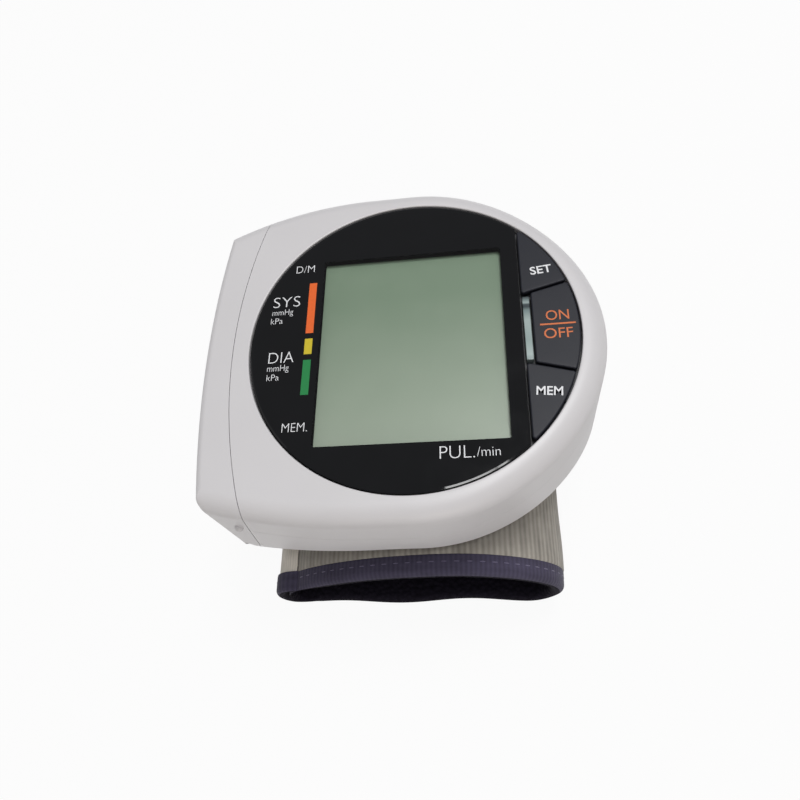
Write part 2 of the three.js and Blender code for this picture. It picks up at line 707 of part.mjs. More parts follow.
// Pump, valve, sensor, buzzer and the tubes that join them
const underBoard = boardBottom - clearance;
const motorLeft = pumpX - motorWidth / 2;
const motorRight = pumpX + motorWidth / 2;
const motorTop = pumpY + motorLength;
const motorCan = rodY(pumpX, underBoard - motorHeight / 2, motorWidth / 2, pumpY, motorTop, 24);
const motorBand = box(motorLeft, motorRight, pumpY, motorTop, underBoard - motorHeight, underBoard);
place('pump_motor', motorCan.intersect(motorBand), steel);
const headBottom = motorTop + seatGap;
const headTop = headBottom + headLength;
const pumpHead = box(motorLeft, motorRight, headBottom, headTop, underBoard - motorHeight, underBoard);
const pumpPort = rodX(airY, -airDepth, spigotRadius, motorLeft - spigotLength, motorLeft + overcut);
place('pump_head', pumpHead.add(pumpPort), blackPlastic);

const valveLeft = dividerRight + clearance;
const valveRight = valveLeft + valveWidth;
const valveX = (valveLeft + valveRight) / 2;
const valveBody = block(valveX, airY, valveWidth / 2, valveLength / 2, underBoard - valveHeight, underBoard);
const valvePort = rodX(airY, -airDepth, spigotRadius, valveRight - overcut, valveRight + spigotLength);
place('release_valve', valveBody.add(valvePort), steel);

const sensorTop = sensorY + sensorSide / 2;
const sensorHalf = sensorSide / 2;
const sensorBody = block(airX, sensorY, sensorHalf, sensorHalf, underBoard - sensorHeight, underBoard);
const sensorTip = sensorTop + spigotLength;
const sensorPort = rodY(airX, -airDepth, spigotRadius, sensorTop - overcut, sensorTip, spigotSides);
place('pressure_sensor', sensorBody.add(sensorPort), blackPlastic);
const buzzerX = dividerRight + buzzerInset;
const buzzer = rodZ(buzzerX, buzzerY, buzzerRadius, underBoard - buzzerHeight, underBoard, 24);
place('buzzer', buzzer, blackPlastic);

function makeManifold() {
  const half = manifoldWidth / 2;
  const top = manifoldHeight / 2 - airDepth;
  const bottom = -manifoldHeight / 2 - airDepth;
  const reach = half + spigotLength;
  let body = block(airX, airY, half, half, bottom, top);
  body = body.add(rodX(airY, -airDepth, spigotRadius, airX - reach, airX + reach));
  body = body.add(rodY(airX, -airDepth, spigotRadius, airY - reach, airY, spigotSides));
  return body.subtract(rodZ(airX, airY, nippleRadius + clearance, bottom - overcut, -airDepth, 16));
}
place('air_manifold', makeManifold(), blackPlastic);

const tubeBore = spigotRadius + clearance;
const tubeRadius = tubeBore + tubeWall;
function tubeX(x0, x1) {
  const bore = rodX(airY, -airDepth, tubeBore, x0 - overcut, x1 + overcut);
  return rodX(airY, -airDepth, tubeRadius, x0, x1).subtract(bore);
}
const manifoldLeft = airX - manifoldWidth / 2 - seatGap;
const manifoldRight = airX + manifoldWidth / 2 + seatGap;
place('pump_tube', tubeX(manifoldRight, motorLeft - seatGap), silicone);
place('valve_tube', tubeX(valveRight + seatGap, manifoldLeft), silicone);
const tubeStart = sensorTop + seatGap;
const tubeEnd = airY - manifoldWidth / 2 - seatGap;
const sensorTube = rodY(airX, -airDepth, tubeRadius, tubeStart, tubeEnd, spigotSides);
const sensorBore = rodY(airX, -airDepth, tubeBore, tubeStart - overcut, tubeEnd + overcut, spigotSides);
place('sensor_tube', sensorTube.subtract(sensorBore), silicone);

// Cells and their contacts. The upper cell's nub points down the display, the lower cell's up it.

function makeCell(x, z, side) {
  const flat = cellEnd - cellNubLength;
  const jacket = rodY(x, z, cellRadius, side > 0 ? -cellEnd : -flat, side > 0 ? flat : cellEnd, 24);
  const nub = rodY(x, z, cellNubRadius, side > 0 ? 0 : -cellEnd, side > 0 ? cellEnd : 0, 12);
  return jacket.add(nub);
}
place('cell_upper', makeCell(upperCellX, upperCellZ, -1), cellJacket);
place('cell_lower', makeCell(lowerCellX, lowerCellZ, 1), cellJacket);

// A flat plate against the rib, with a boss that reaches the nub of a cell.
function contactPatch(side, x, z, width) {
  const near = Math.min(side * contactY, side * (contactY + contactThickness));
  return box(x - width / 2, x + width / 2, near, near + contactThickness, z - width / 2, z + width / 2);
}
function contactBoss(side, x, z) {
  const ends = [side * (cellEnd + seatGap), side * (contactY + contactThickness / 2)];
  return rodY(x, z, cellNubRadius, Math.min(...ends), Math.max(...ends), 12);
}
const upperCell = [upperCellX, upperCellZ];
const lowerCell = [lowerCellX, lowerCellZ];
const betweenCells = [(upperCellX + lowerCellX) / 2, (upperCellZ + lowerCellZ) / 2];
const linkPlates = contactPatch(1, ...upperCell, contactSide).add(contactPatch(1, ...lowerCell, contactSide));
const linkPlate = linkPlates.add(contactPatch(1, ...betweenCells, linkSide));
place('contact_link', linkPlate.add(contactBoss(1, ...lowerCell)), steel);
const positivePlate = contactPatch(-1, ...upperCell, contactSide);
place('contact_positive', positivePlate.add(contactBoss(-1, ...upperCell)), steel);
place('contact_negative', contactPatch(-1, ...lowerCell, contactSide), steel);

// A coned spring of one wire, from the plate to the flat end of a cell.
class ConeSpring extends THREE.Curve {
  constructor(x, z, side) {
    super();
    this.x = x;
    this.z = z;
    this.side = side;
  }

  getPoint(t, target = new THREE.Vector3()) {
    const angle = 2 * Math.PI * springTurns * t;
    const radius = THREE.MathUtils.lerp(springWide, springNarrow, t);
    const from = contactY - seatGap - springWire / 2;
    const to = cellEnd + seatGap + springWire / 2;
    const y = this.side * THREE.MathUtils.lerp(from, to, t);
    return target.set(this.x + radius * Math.cos(angle), y, this.z + radius * Math.sin(angle));
  }
}

function makeSpring(x, z, side) {
  const path = new ConeSpring(x, z, side);
  const section = new THREE.Shape(arcPoints(0, 0, springWire / 2, 0, 2 * Math.PI, springSides));
  const steps = springSteps * springTurns;
  const points = path.getPoints(steps);
  let least = Infinity;
  points.forEach((a, i) => {
    for (const b of points.slice(i + springSteps / 2)) least = Math.min(least, a.distanceTo(b) - springWire);
  });
  console.log(`least gap between the turns of a contact spring: ${least.toFixed(2)} mm`);
  return solid(new THREE.ExtrudeGeometry(section, { steps, extrudePath: path }));
}
place('contact_spring_upper', makeSpring(upperCellX, upperCellZ, 1), steel);
place('contact_spring_lower', makeSpring(lowerCellX, lowerCellZ, -1), steel);

// Cuff outline, as curves of X and height above the front face, from the lower left corner along the
// table, up the right fold, over the crest and down the left fold

const table = -standHeight;
function cuffPoint(x, height) {
  return new THREE.Vector2(x, table + height);
}
const flatLeft = cuffPoint(cuffFlatLeft, 0);
const flatRight = cuffPoint(cuffFlatRight, 0);
const rightFold = cuffPoint(cuffRight, cuffRightHeight);
const crest = cuffPoint(cuffCrestX, cuffCrestHeight);
const leftFold = cuffPoint(cuffLeft, cuffLeftHeight);
const roundShare = 0.56; // handle length that makes a Bezier curve close to a quarter ellipse
const slackShare = 0.48; // shorter handles, for the flatter stretch from the crest to the left fold

function quarter(from, fromAlongX, to, share = roundShare) {
  const dx = (to.x - from.x) * share;
  const dy = (to.y - from.y) * share;
  const first = fromAlongX ? new THREE.Vector2(from.x + dx, from.y) : new THREE.Vector2(from.x, from.y + dy);
  const second = fromAlongX ? new THREE.Vector2(to.x, to.y - dy) : new THREE.Vector2(to.x - dx, to.y);
  return new THREE.CubicBezierCurve(from, first, second, to);
}
const bottomRun = new THREE.LineCurve(flatLeft, flatRight);
const rightTurn = quarter(flatRight, true, rightFold);
const rightTop = quarter(rightFold, false, crest);
const leftTop = quarter(crest, true, leftFold, slackShare);
const leftTurn = quarter(leftFold, false, flatLeft);

// Points with outward normals along stretches of these curves, each given as [curve, from, to, steps].
function trace(stretches, outward = 1) {
  const points = [];
  stretches.forEach(([curve, from, to, steps], n) => {
    for (let i = n === 0 ? 0 : 1; i <= steps; i += 1) {
      const t = from + ((to - from) * i) / steps;
      const along = curve.getTangent(t).multiplyScalar(Math.sign(to - from) * outward);
      points.push({ at: curve.getPoint(t), out: new THREE.Vector2(along.y, -along.x) });
    }
  });
  return points;
}

// A strip along traced points, between two distances inside the outline, carried across the cuff.
function strip(points, from, to, y0, y1) {
  const outer = points.map(({ at, out }) => at.clone().addScaledVector(out, -from));
  const inner = points.map(({ at, out }) => at.clone().addScaledVector(out, -to)).reverse();
  return extrudeY(new THREE.Shape([...outer, ...inner]), y0, y1);
}

const ringStart = 0.54; // share of the left turn where the lower end of the ring stops
const ringEnd = 0.28; // share of the left turn where the upper end of the ring stops
const endShare = 0.06; // share of the left turn by which a slot runs out of its strip
const stiffenerStart = 0.1; // share of the right top where the stiffener and the bladder begin
function ringTrace(extra) {
  return trace([
    [leftTurn, ringStart - extra, 1, 3],
    [bottomRun, 0, 1, 1],
    [rightTurn, 0, 1, 8],
    [rightTop, 0, 1, 12],
    [leftTop, 0, 1, 14],
    [leftTurn, 0, ringEnd + extra, 3],
  ]);
}
const ring = ringTrace(0);
const upperRing = trace([
  [rightTop, stiffenerStart, 1, 10],
  [leftTop, 0, 1, 14],
]);

const bindingInner = cuffHalfWidth - bindingWidth;
const fabricHalf = bindingInner - clearance;
const hemHalf = cuffHalfWidth - bindingWall - clearance;
const stiffenerDepth = fabricThickness + clearance;
const bladderDepth = stiffenerDepth + layerThickness + clearance;
const liningDepth = bladderDepth + layerThickness + clearance;
const hemDepth = bindingWall + clearance;
const bindingDepth = hemDepth + hemThickness + clearance + bindingWall;

function nippleHole(radius) {
  return rodZ(airX, airY, radius, table + cuffCrestHeight / 2, -airDepth, 16);
}

function makeFabric() {
  const sheet = strip(ring, 0, fabricThickness, -fabricHalf, fabricHalf);
  const hem = strip(ring, hemDepth, hemDepth + hemThickness, -hemHalf, hemHalf);
  return sheet.add(hem).subtract(nippleHole(nippleRadius + clearance));
}

// A folded tape along one edge: a band with a slot that takes the hem.
function makeBinding(points, depths, slotPoints, slotDepths, side) {
  const ends = [side * bindingInner, side * cuffHalfWidth];
  const slotEnds = [side * (bindingInner - overcut), side * (cuffHalfWidth - bindingWall)];
  const band = strip(points, ...depths, Math.min(...ends), Math.max(...ends));
  return band.subtract(strip(slotPoints, ...slotDepths, Math.min(...slotEnds), Math.max(...slotEnds)));
}

place('cuff_fabric', makeFabric(), wovenFabric);
for (const [name, side] of [['front', -1], ['rear', 1]]) {
  const depths = [bindingLift, bindingDepth];
  const slot = [bindingWall, hemDepth + hemThickness + clearance];
  place(`cuff_binding_${name}`, makeBinding(ring, depths, ringTrace(endShare), slot, side), bindingTape);
}

const stiffenerHalf = fabricHalf - clearance;
const stiffenerInner = stiffenerDepth + layerThickness;
const stiffener = strip(upperRing, stiffenerDepth, stiffenerInner, -stiffenerHalf, stiffenerHalf);
place('cuff_stiffener', stiffener.subtract(nippleHole(nippleRadius + clearance)), stiffSheet);

function makeBladder() {
  const half = stiffenerHalf - bladderInset;
  const sheet = strip(upperRing, bladderDepth, bladderDepth + layerThickness, -half, half);
  const root = table + cuffCrestHeight - bladderDepth - layerThickness / 2;
  const tip = -airDepth - clearance;
  const nipple = rodZ(airX, airY, nippleRadius, root, tip, 16);
  const bore = rodZ(airX, airY, nippleBore, root + layerThickness, tip + overcut, 10);
  return sheet.add(nipple).subtract(bore);
}
place('cuff_bladder', makeBladder(), bladderSheet);
const lining = strip(ring, liningDepth, liningDepth + layerThickness, -fabricHalf, fabricHalf);
place('cuff_lining', lining, darkLining);

// Plate that joins the cuff to the rear cover: it fills the space between the hollow back and the cuff.
function makePlate() {
  const steps = 12;
  const under = [];
  for (const { at, out } of upperRing) {
    const point = at.clone().addScaledVector(out, clearance);
    if (point.x > plateLeft && point.x < plateRight) under.push(point);
  }
  const top = [];
  for (let i = 0; i <= steps; i += 1) {
    const x = THREE.MathUtils.lerp(plateLeft, plateRight, i / steps);
    top.push(new THREE.Vector2(x, backHeight(x) - clearance));
  }
  let plate = extrudeY(new THREE.Shape([...under, ...top]), -plateHalfWidth, plateHalfWidth);
  plate = plate.subtract(nippleHole(nippleRadius + clearance));
  for (const [x, y] of plateScrews) {
    plate = plate.subtract(rodZ(x, y, screwBore, backHeight(x) - plateScrewBite, 0, 12));
  }
  return plate;
}
place('cuff_plate', makePlate(), blackPlastic);
plateScrews.forEach(([x, y], i) => {
  const seat = backHeight(Math.abs(x) - screwHeadRadius, floorRadius) + seatGap;
  place(`plate_screw_${i + 1}`, screw(x, y, seat, backHeight(x) + clearance - plateScrewBite, false), steel);
});

// Strap end that closes the cuff over its left fold, with hook tape under its upper part
const flapRoot = 0.46; // share of the left turn where the flap leaves the ring
const flapTip = 0.3; // share of the crest curve that the flap comes back over
const hookTip = 0.27; // share of the crest curve that its hook tape reaches
function flapTrace(extra) {
  return trace([
    [leftTurn, flapRoot + extra, 0, 6],
    [leftTop, 1, 1 - flapTip - extra, 6],
  ], -1);
}
const flap = flapTrace(0);
const hookRun = trace([[leftTop, 1, 1 - hookTip, 6]], -1);
const hookNear = seamGap;
const flapNear = hookNear + hookThickness + seatGap;
const flapFar = flapNear + flapThickness;

place('flap_fabric', strip(flap, -flapFar, -flapNear, -hemHalf, hemHalf), wovenFabric);
const hookTape = strip(hookRun, -hookNear - hookThickness, -hookNear, -fabricHalf, fabricHalf);
place('flap_hook_tape', hookTape, darkLining);
for (const [name, side] of [['front', -1], ['rear', 1]]) {
  const slot = [-flapFar - seatGap, -flapNear + seatGap];
  const depths = [slot[0] - flapBindingWall, slot[1] + flapBindingWall];
  place(`flap_binding_${name}`, makeBinding(flap, depths, flapTrace(endShare), slot, side), bindingTape);
}

export default monitor;
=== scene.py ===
"""Wrist blood pressure monitor: the looks of its pieces and a plain studio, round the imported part."""

import math

import bmesh
import bpy
from bpy.props import FloatProperty, FloatVectorProperty, PointerProperty
from mathutils import Matrix, Vector


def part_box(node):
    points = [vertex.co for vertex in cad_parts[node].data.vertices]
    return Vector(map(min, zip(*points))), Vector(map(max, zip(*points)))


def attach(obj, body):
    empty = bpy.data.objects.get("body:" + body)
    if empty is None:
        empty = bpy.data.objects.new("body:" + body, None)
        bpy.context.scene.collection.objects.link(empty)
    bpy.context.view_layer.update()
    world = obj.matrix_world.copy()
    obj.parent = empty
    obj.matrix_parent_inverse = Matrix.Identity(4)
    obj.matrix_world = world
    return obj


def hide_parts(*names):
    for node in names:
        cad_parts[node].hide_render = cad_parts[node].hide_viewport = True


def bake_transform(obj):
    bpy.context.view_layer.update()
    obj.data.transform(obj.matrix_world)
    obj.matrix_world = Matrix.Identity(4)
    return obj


bl_info = {
    "name": "Wrist Blood Pressure Monitor",
    "version": (1, 0, 0),
    "blender": (4, 5, 0),
    "location": "3D View > Sidebar > Monitor",
    "description": "Models a wrist blood pressure monitor on its cuff, with a plain studio",
    "category": "Object",
}

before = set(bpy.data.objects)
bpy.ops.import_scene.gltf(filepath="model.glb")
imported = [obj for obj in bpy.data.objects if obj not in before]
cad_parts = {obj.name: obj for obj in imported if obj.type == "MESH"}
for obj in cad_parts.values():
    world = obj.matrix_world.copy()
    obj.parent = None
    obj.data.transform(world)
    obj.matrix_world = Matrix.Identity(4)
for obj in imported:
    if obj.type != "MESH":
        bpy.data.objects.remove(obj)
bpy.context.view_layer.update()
MM = 0.001

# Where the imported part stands: sizes below are millimetres from the lens centre on the front face,
# X to the right of the display, Y to its top and Z out of it
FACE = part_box("front_cover")[1].z / MM
RIM = 34.4
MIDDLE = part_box("front_cover")[1].x / MM - RIM
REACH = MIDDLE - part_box("battery_cover")[0].x / MM

# Case
SIDE_STRAIGHT = 8.0
SIDE_RADIUS = 66.0
LOWER_SIDE_RADIUS = 106.0
RIM_EASE = 0.7
END_BOW = 203.0
CORNER = 2.0
SIDE_FILLET = 3.5
END_FILLET = 1.5
WALL = 1.4
FRONT_WALL, REAR_WALL = -6.5, -12.0
SEAM_DEPTH = 9.7
SEAM_GAP = 0.04
LINE_GAP = 0.1
DEEP = -32.0
BELOW = DEEP - 2
BACK_RADIUS = 90.0
BACK_CENTRE = -107.5
RECESS = 30.0
DECK_TOP = -1.5
DECK_BOTTOM = -2.6
DECK_CUT = (-4.0, -1.0)
DISPLAY_TOP = -1.2
ROUND_STEPS = (0, 18, 36, 54, 72, 90)

# Inside the rear cover: ribs round the cells, screws, and the hole for the air
BAY_RIB = (25.05, 26.25)
BAY_END = (-16.92, -15.72)
BAY_HALF = 25.5
BAY_FOOT, BAY_RIB_TOP, BAY_END_TOP = -11.0, -2.9, -6.7
SPACE_TOP, FLOOR_TOP = -9.0, -8.0
CASE_SCREWS = ("case_screw_1", "case_screw_2", "case_screw_3", "case_screw_4")
PLATE_SCREWS = ("plate_screw_1", "plate_screw_2")
BOSS, SCREW_HEAD, SCREW_SHANK, PLATE_SCREW = 3.1, 2.1, 1.2, 1.1
HEAD_TOP, SHANK_BOTTOM = -13.5, -14.0
AIR_X, AIR_Y, AIR_HOLE = 2, 7, 1.9

# Battery cover
COVER_LINE = REACH - 5.5
COVER_LINE_RADIUS = 104.0
COVER_LEAN = 0.169
COVER_HALF = 38.0
NOTCH_X, NOTCH_Y, NOTCH_RISE = 4.3 - REACH, 30, 1.2
NOTCH_RADIUS, NOTCH_LENGTH = 1.3, 9
NUB_X, NUB_Z, NUB_SUNK = 7.4 - REACH, -8.5, 0.2
NUB_RADII = (0.85, 1.1, 0.85)
TONGUE, TONGUE_GAP, TONGUE_REACH = 1.2, 0.3, 5
TONGUE_BOTTOM, TONGUE_TOP = -14, -6

# Lens, window and printed marks
LENS_TOP = -0.15
LENS_BOTTOM = -1.35
LENS_CHORD = 19.8
LENS_RADIUS = 29.7
CHAMFER_SLOPE = 0.29
WINDOW_HALF_X = 16.8
WINDOW_HALF_Y = 19.45
WINDOW_Y = -1.4
DISPLAY_ROOM = 1.5
MARK_LEFT, MARK_RIGHT = -19.5, -18.05
# Capital height of the font, and depth of a word before it is laid flat, both at text size 1
CAPITAL = 0.69
WORD_DEPTH = 0.01

# Buttons and light strip
CAP_TOP = 0.1
CAP_BOTTOM = -0.7
CAP_CHORD = 20.1
CAP_SLOPE = math.radians(15.5)
CAP_GAP = 0.44
POWER_HALF = 6.68
POWER_LEFT = 21.7
CAP_TIP = 0.9
STEM_X = 24.0
STEM_Y = 11.6
STEM_HALF_X, STEM_HALF_Y, STEM_TOP = 1.8, 2.6, -0.4
STEM_CLIP_X, STEM_CLIP_Y, STEM_CLIP_TOP = 0.9, 3.3, -2.9
STEM_FOOT = -3.3
GUIDE_LEFT, GUIDE_RIGHT, GUIDE_HALF = 20.2, 21.4, 6.5
GUIDE_FOOT, GUIDE_FOOT_ENDS = 1.0, (-3.95, -1.2)
ROOM = 0.3

# Cuff: depths lie under its outline, which is drawn further below. A fabric's are its outer face, edge and inner
# face, a tape's its outer face, inner face and wall. The inside of a section is told by its first and last point.
CUFF_HALF = 38.3
TAPE_OUTER = 34.3
TAPE_INNER = 33.3
FABRIC_HALF, FABRIC_FLAT = 37.2, 34.1
FABRIC, FLAP_FABRIC = (0.0, 0.85, 1.75), (-2.1, -1.75, -1.0)
TAPE, FLAP_TAPE = (0.1, 2.7, 0.6), (-2.55, -0.5, 0.32)
# On a tape the inside starts just before the fold's tip and runs over its inner face: dark lining there, and
# painted shade under the cuff's edges
FABRIC_INSIDE, TAPE_SHADED_INSIDE = (50, 95), (15, 33)
STITCH_DEPTH, FLAP_STITCH_DEPTH, STITCH_Y = 0.22, -2.45, 35.75
LINING_HALF, BLADDER_HALF, HOOKS_HALF = 33.2, 31.6, 33
LINING_EDGE, LINING_BULGE, LINING_THICK, LINING_WAVE = 3.1, 2.0, 0.75, 1.6
BLADDER, HOOK_TAPE = (3.25, 3.95), (-0.8, -0.2)
# The bladder's air nipple and its bore: radius, lower and upper end
NIPPLE, NIPPLE_BORE = (1.6, -21.5, -12.1), (0.8, -20.5, -11)
CLOTH_ANGLE = 50
WAVE_TOP, WAVE_FADE, WAVE_X, WAVE_RATE = 9, 6, 6.2, 0.227
# Where the flap's root bends, as X and height, and where along the flap it comes loose from the ring
LOOSE = (1.5, 6.0)
# Towards the ring's end, over how many millimetres its waves fade and it thins, and for how many it stays thin.
# The flap's end thins over its tip.
CALM = 30
TAPER = 10.0
THIN = 12.5
TIP = 5.0
THINNEST = 0.12
THIN_DEPTH, FLAP_TAPE_THIN_DEPTH = 0.12, 0.4


def linear(code):
    """Linear RGBA from an sRGB hex colour."""
    shades = [int(code[i:i + 2], 16) / 255 for i in (1, 3, 5)]
    return tuple(s / 12.92 if s <= 0.04045 else ((s + 0.055) / 1.055) ** 2.4 for s in shades) + (1.0,)


def spot(x, y, z):
    """A point of the device, in the frame's metres."""
    return Vector(((x + MIDDLE) * MM, y * MM, (z + FACE) * MM))


def length(name, about, millimetres):
    return FloatProperty(name=name, description=about, default=millimetres * MM, min=0.0, unit="LENGTH",
                         precision=5)


def colour(name, about, code):
    return FloatVectorProperty(name=name, description=about, default=linear(code), size=4, min=0.0, max=1.0,
                               subtype="COLOR")


class MonitorSizes(bpy.types.PropertyGroup):
    seam_round: length("Seam round", "Round of the edges along the seam of the two covers", 0.08)
    lower_round: length("Lower round", "Round of the lower edge of the case's walls", 1.6)
    lip_round: length("Lip round", "Round of the edge of the lens recess", 0.25)
    lens_chamfer: length("Lens chamfer", "Width of the shallow chamfer round the lens", 0.3)
    cap_round: length("Cap round", "Round of the upper edges of the button caps", 0.28)
    cap_corner: length("Cap corner", "Corners of the button caps, seen from the front", 0.45)
    print_height: length("Print height", "Thickness of the printed marks", 0.02)
    stitch_pitch: length("Stitch pitch", "From one stitch of the cuff to the next", 2.3)
    stitch_length: length("Stitch length", "Length of one stitch of the cuff", 1.6)
    stitch_thread: length("Thread", "Thickness of the sewing thread", 0.34)
    edge_wave: length("Edge wave", "How far the cuff's edges wave in and out near the table", 0.7)
    cloth_wave: length("Cloth wave", "Unevenness of the cuff's cloth", 0.45)
    fabric_rib: length("Fabric rib", "From one rib of the woven fabric to the next", 1.1)
    tape_rib: length("Tape rib", "From one rib of the binding tape to the next", 0.9)
    floor_size: length("Floor", "Side of the floor", 4000.0)


class MonitorColours(bpy.types.PropertyGroup):
    case: colour("Case", "Moulded plastic of the covers", "#d2d0d2")
    lens: colour("Lens", "Printed border of the lens", "#0b0c0f")
    button: colour("Buttons", "Moulded plastic of the button caps", "#1c1e27")
    # The display's two colours paint shade and light: a darker top and a paler lower end
    display_shaded_top: colour("Display top", "Upper part of the blank display", "#819580")
    display_lit_bottom: colour("Display bottom", "Lower part of the blank display", "#a6b2a2")
    white_ink: colour("White ink", "Printed words", "#e8e9ec")
    high_ink: colour("High mark", "Upper mark beside the display", "#e8641c")
    middle_ink: colour("Middle mark", "Middle mark beside the display", "#cdb91e")
    low_ink: colour("Low mark", "Lower mark beside the display", "#00803e")
    power_ink: colour("Power ink", "Words on the power button", "#d66e32")
    fabric: colour("Fabric", "Woven cuff fabric", "#9d9890")
    binding: colour("Binding", "Tape along the cuff's edges", "#454154")
    lining: colour("Lining", "Inner face of the cuff", "#1c1923")
    floor: colour("Floor", "Floor and backdrop", "#d0d0d0")


# Shape helpers


def only(piece):
    """Selects one piece and nothing else."""
    bpy.ops.object.select_all(action="DESELECT")
    piece.select_set(True)
    bpy.context.view_layer.objects.active = piece


def layers_of(piece):
    """The mesh of a piece in edit mode, and the layers that tell each point's outline and its place there."""
    mesh = bmesh.from_edit_mesh(piece.data)
    whole = mesh.verts.layers.int
    return mesh, whole["level"], whole["station"]


def stack(name, outlines, along=None, across=None):
    """A closed skin through outlines of equally many points: a circle is laid on the first outline and
    extruded to each next one. With along and across, lengths in metres, it also gets a UV map."""
    count = len(outlines[0])
    bpy.ops.object.select_all(action="DESELECT")
    bpy.ops.mesh.primitive_circle_add(vertices=count, radius=1.0, calc_uvs=False)
    piece = bpy.context.object
    piece.name = piece.data.name = name
    bpy.ops.object.mode_set(mode="EDIT")
    bpy.ops.mesh.select_all(action="SELECT")
    mesh = bmesh.from_edit_mesh(piece.data)
    for layer in ("station", "level"):
        mesh.verts.layers.int.new(layer)
    mesh, _, station = layers_of(piece)
    for i, vert in enumerate(mesh.verts):
        vert[station] = i
        vert.co = outlines[0][i]
    bmesh.update_edit_mesh(piece.data)
    for step, outline in enumerate(outlines[1:], 1):
        bpy.ops.mesh.extrude_region()
        mesh, level, station = layers_of(piece)
        mesh.verts.ensure_lookup_table()
        for vert in mesh.verts[-count:]:
            vert.co = outline[vert[station]]
            vert[level] = step
        bmesh.update_edit_mesh(piece.data)
    for end in (0, len(outlines) - 1):
        bpy.ops.mesh.select_all(action="DESELECT")
        mesh, level, _ = layers_of(piece)
        for vert in mesh.verts:
            vert.select = vert[level] == end
        mesh.select_flush(True)
        bmesh.update_edit_mesh(piece.data)
        bpy.ops.mesh.fill()
    bpy.ops.mesh.select_all(action="SELECT")
    bpy.ops.mesh.normals_make_consistent(inside=False)
    if along:
        mesh, level, station = layers_of(piece)
        cloth = mesh.loops.layers.uv.new("cloth")
        for face in mesh.faces:
            wraps = {0, count - 1} <= {vert[station] for vert in face.verts}
            for loop in face.loops:
                v = across[count] if wraps and loop.vert[station] == 0 else across[loop.vert[station]]
                loop[cloth].uv = (along[loop.vert[level]], v)
        bmesh.update_edit_mesh(piece.data)
    bpy.ops.object.mode_set(mode="OBJECT")
    return piece


def closes_end(piece, face):
    """Whether all points of a face of a stack lie on one outline."""
    level = piece.data.attributes["level"].data
    return len({level[v].value for v in face.vertices}) == 1


def combine(piece, tool, operation="DIFFERENCE"):
    """Cuts a tool out of a piece, or joins it on, and takes the tool away."""
    only(piece)
    bpy.ops.object.modifier_add(type="BOOLEAN")
    modifier = piece.modifiers[-1]
    modifier.operation = operation
    modifier.solver = "EXACT"
    modifier.object = tool
    bpy.ops.object.modifier_apply(modifier=modifier.name)
    only(tool)
    bpy.ops.object.delete()


def block(x0, x1, y0, y1, z0, z1):
    low, high = spot(x0, y0, z0), spot(x1, y1, z1)
    bpy.ops.mesh.primitive_cube_add(size=1.0, location=(low + high) / 2, scale=high - low)
    return bpy.context.object


def post(x, y, radius, z0, z1):
    low, high = spot(x, y, z0), spot(x, y, z1)
    bpy.ops.mesh.primitive_cylinder_add(vertices=32, radius=radius * MM, depth=high.z - low.z,
                                        location=(low + high) / 2)
    return bpy.context.object


def wrist_rod(radius):
    """The round space over the wrist, which hollows the back of the case."""
    bpy.ops.mesh.primitive_cylinder_add(vertices=360, radius=radius * MM, depth=120 * MM,
                                        location=spot(0, 0, BACK_CENTRE), rotation=(math.pi / 2, 0, 0))
    return bpy.context.object


def smooth(piece, degrees=35):
    """Smooth faces with sharp edges kept, and normals that follow the larger faces."""
    only(piece)
    bpy.ops.object.shade_smooth_by_angle(angle=math.radians(degrees))
    bpy.ops.object.modifier_add(type="WEIGHTED_NORMAL")
    piece.modifiers[-1].keep_sharp = True
    bpy.ops.object.modifier_apply(modifier=piece.modifiers[-1].name)


def dress(piece, body, slot, *materials):
    """Gives a finished piece its materials and the body that it moves with. The slot is not used."""
    indices = [face.material_index for face in piece.data.polygons]
    piece.data.materials.clear()
    for material in materials:
        piece.data.materials.append(material)
    piece.data.polygons.foreach_set("material_index", indices)
    for name in ("station", "level"):
        if name in piece.data.attributes:
            piece.data.attributes.remove(piece.data.attributes[name])
    if body:
        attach(piece, body)


def spread(start, stop, steps):
    return [start + (stop - start) * i / steps for i in range(steps + 1)]


def arc(cx, cy, radius, start, stop, steps):
    """Points of an arc, without its last one."""
    angles = spread(start, stop, steps)[:-1]
    return [(cx + radius * math.cos(a), cy + radius * math.sin(a)) for a in angles]


def side_outline(radius, side_inset, end_inset):
    """One side of the case and half of its battery end, seen from the front with that side up."""
    side_x, side_y = -SIDE_STRAIGHT, RIM - radius
    end_x = END_BOW - REACH
    corner = max(CORNER - max(side_inset, end_inset), 0.1)
    from_side = radius - side_inset - corner
    from_end = END_BOW - end_inset - corner
    span = math.hypot(end_x - side_x, side_y)
    ux, uy = (end_x - side_x) / span, -side_y / span
    along = (from_side ** 2 - from_end ** 2 + span ** 2) / (2 * span)
    aside = math.sqrt(from_side ** 2 - along ** 2)
    corner_x = side_x + ux * along - uy * aside
    corner_y = side_y + uy * along + ux * aside
    side_turn = math.atan2(corner_y - side_y, corner_x - side_x)
    end_turn = math.atan2(corner_y, corner_x - end_x)
    points = arc(side_x, side_y, radius - side_inset, math.pi / 2, side_turn, 40)
    points += arc(corner_x, corner_y, corner, side_turn, end_turn, 8)
    return points + arc(end_x, 0, END_BOW - end_inset, end_turn, math.pi, 20)


def case_outline(side_inset, end_inset):
    """The case seen from the front, drawn in at its sides and rim and at its battery end."""
    rim = []
    for i in range(121):
        turn = math.pi * (i / 120 - 0.5)
        reach = RIM - side_inset - RIM_EASE * math.sin(2 * turn) ** 2
        rim.append((reach * math.cos(turn), reach * math.sin(turn)))
    straight = [(-SIDE_STRAIGHT * i / 8, RIM - side_inset) for i in range(1, 8)]
    upper = straight + side_outline(SIDE_RADIUS, side_inset, end_inset)
    lower = straight + side_outline(LOWER_SIDE_RADIUS, side_inset, end_inset)
    return rim + upper + [(end_inset - REACH, 0.0)] + [(x, -y) for x, y in reversed(lower)]


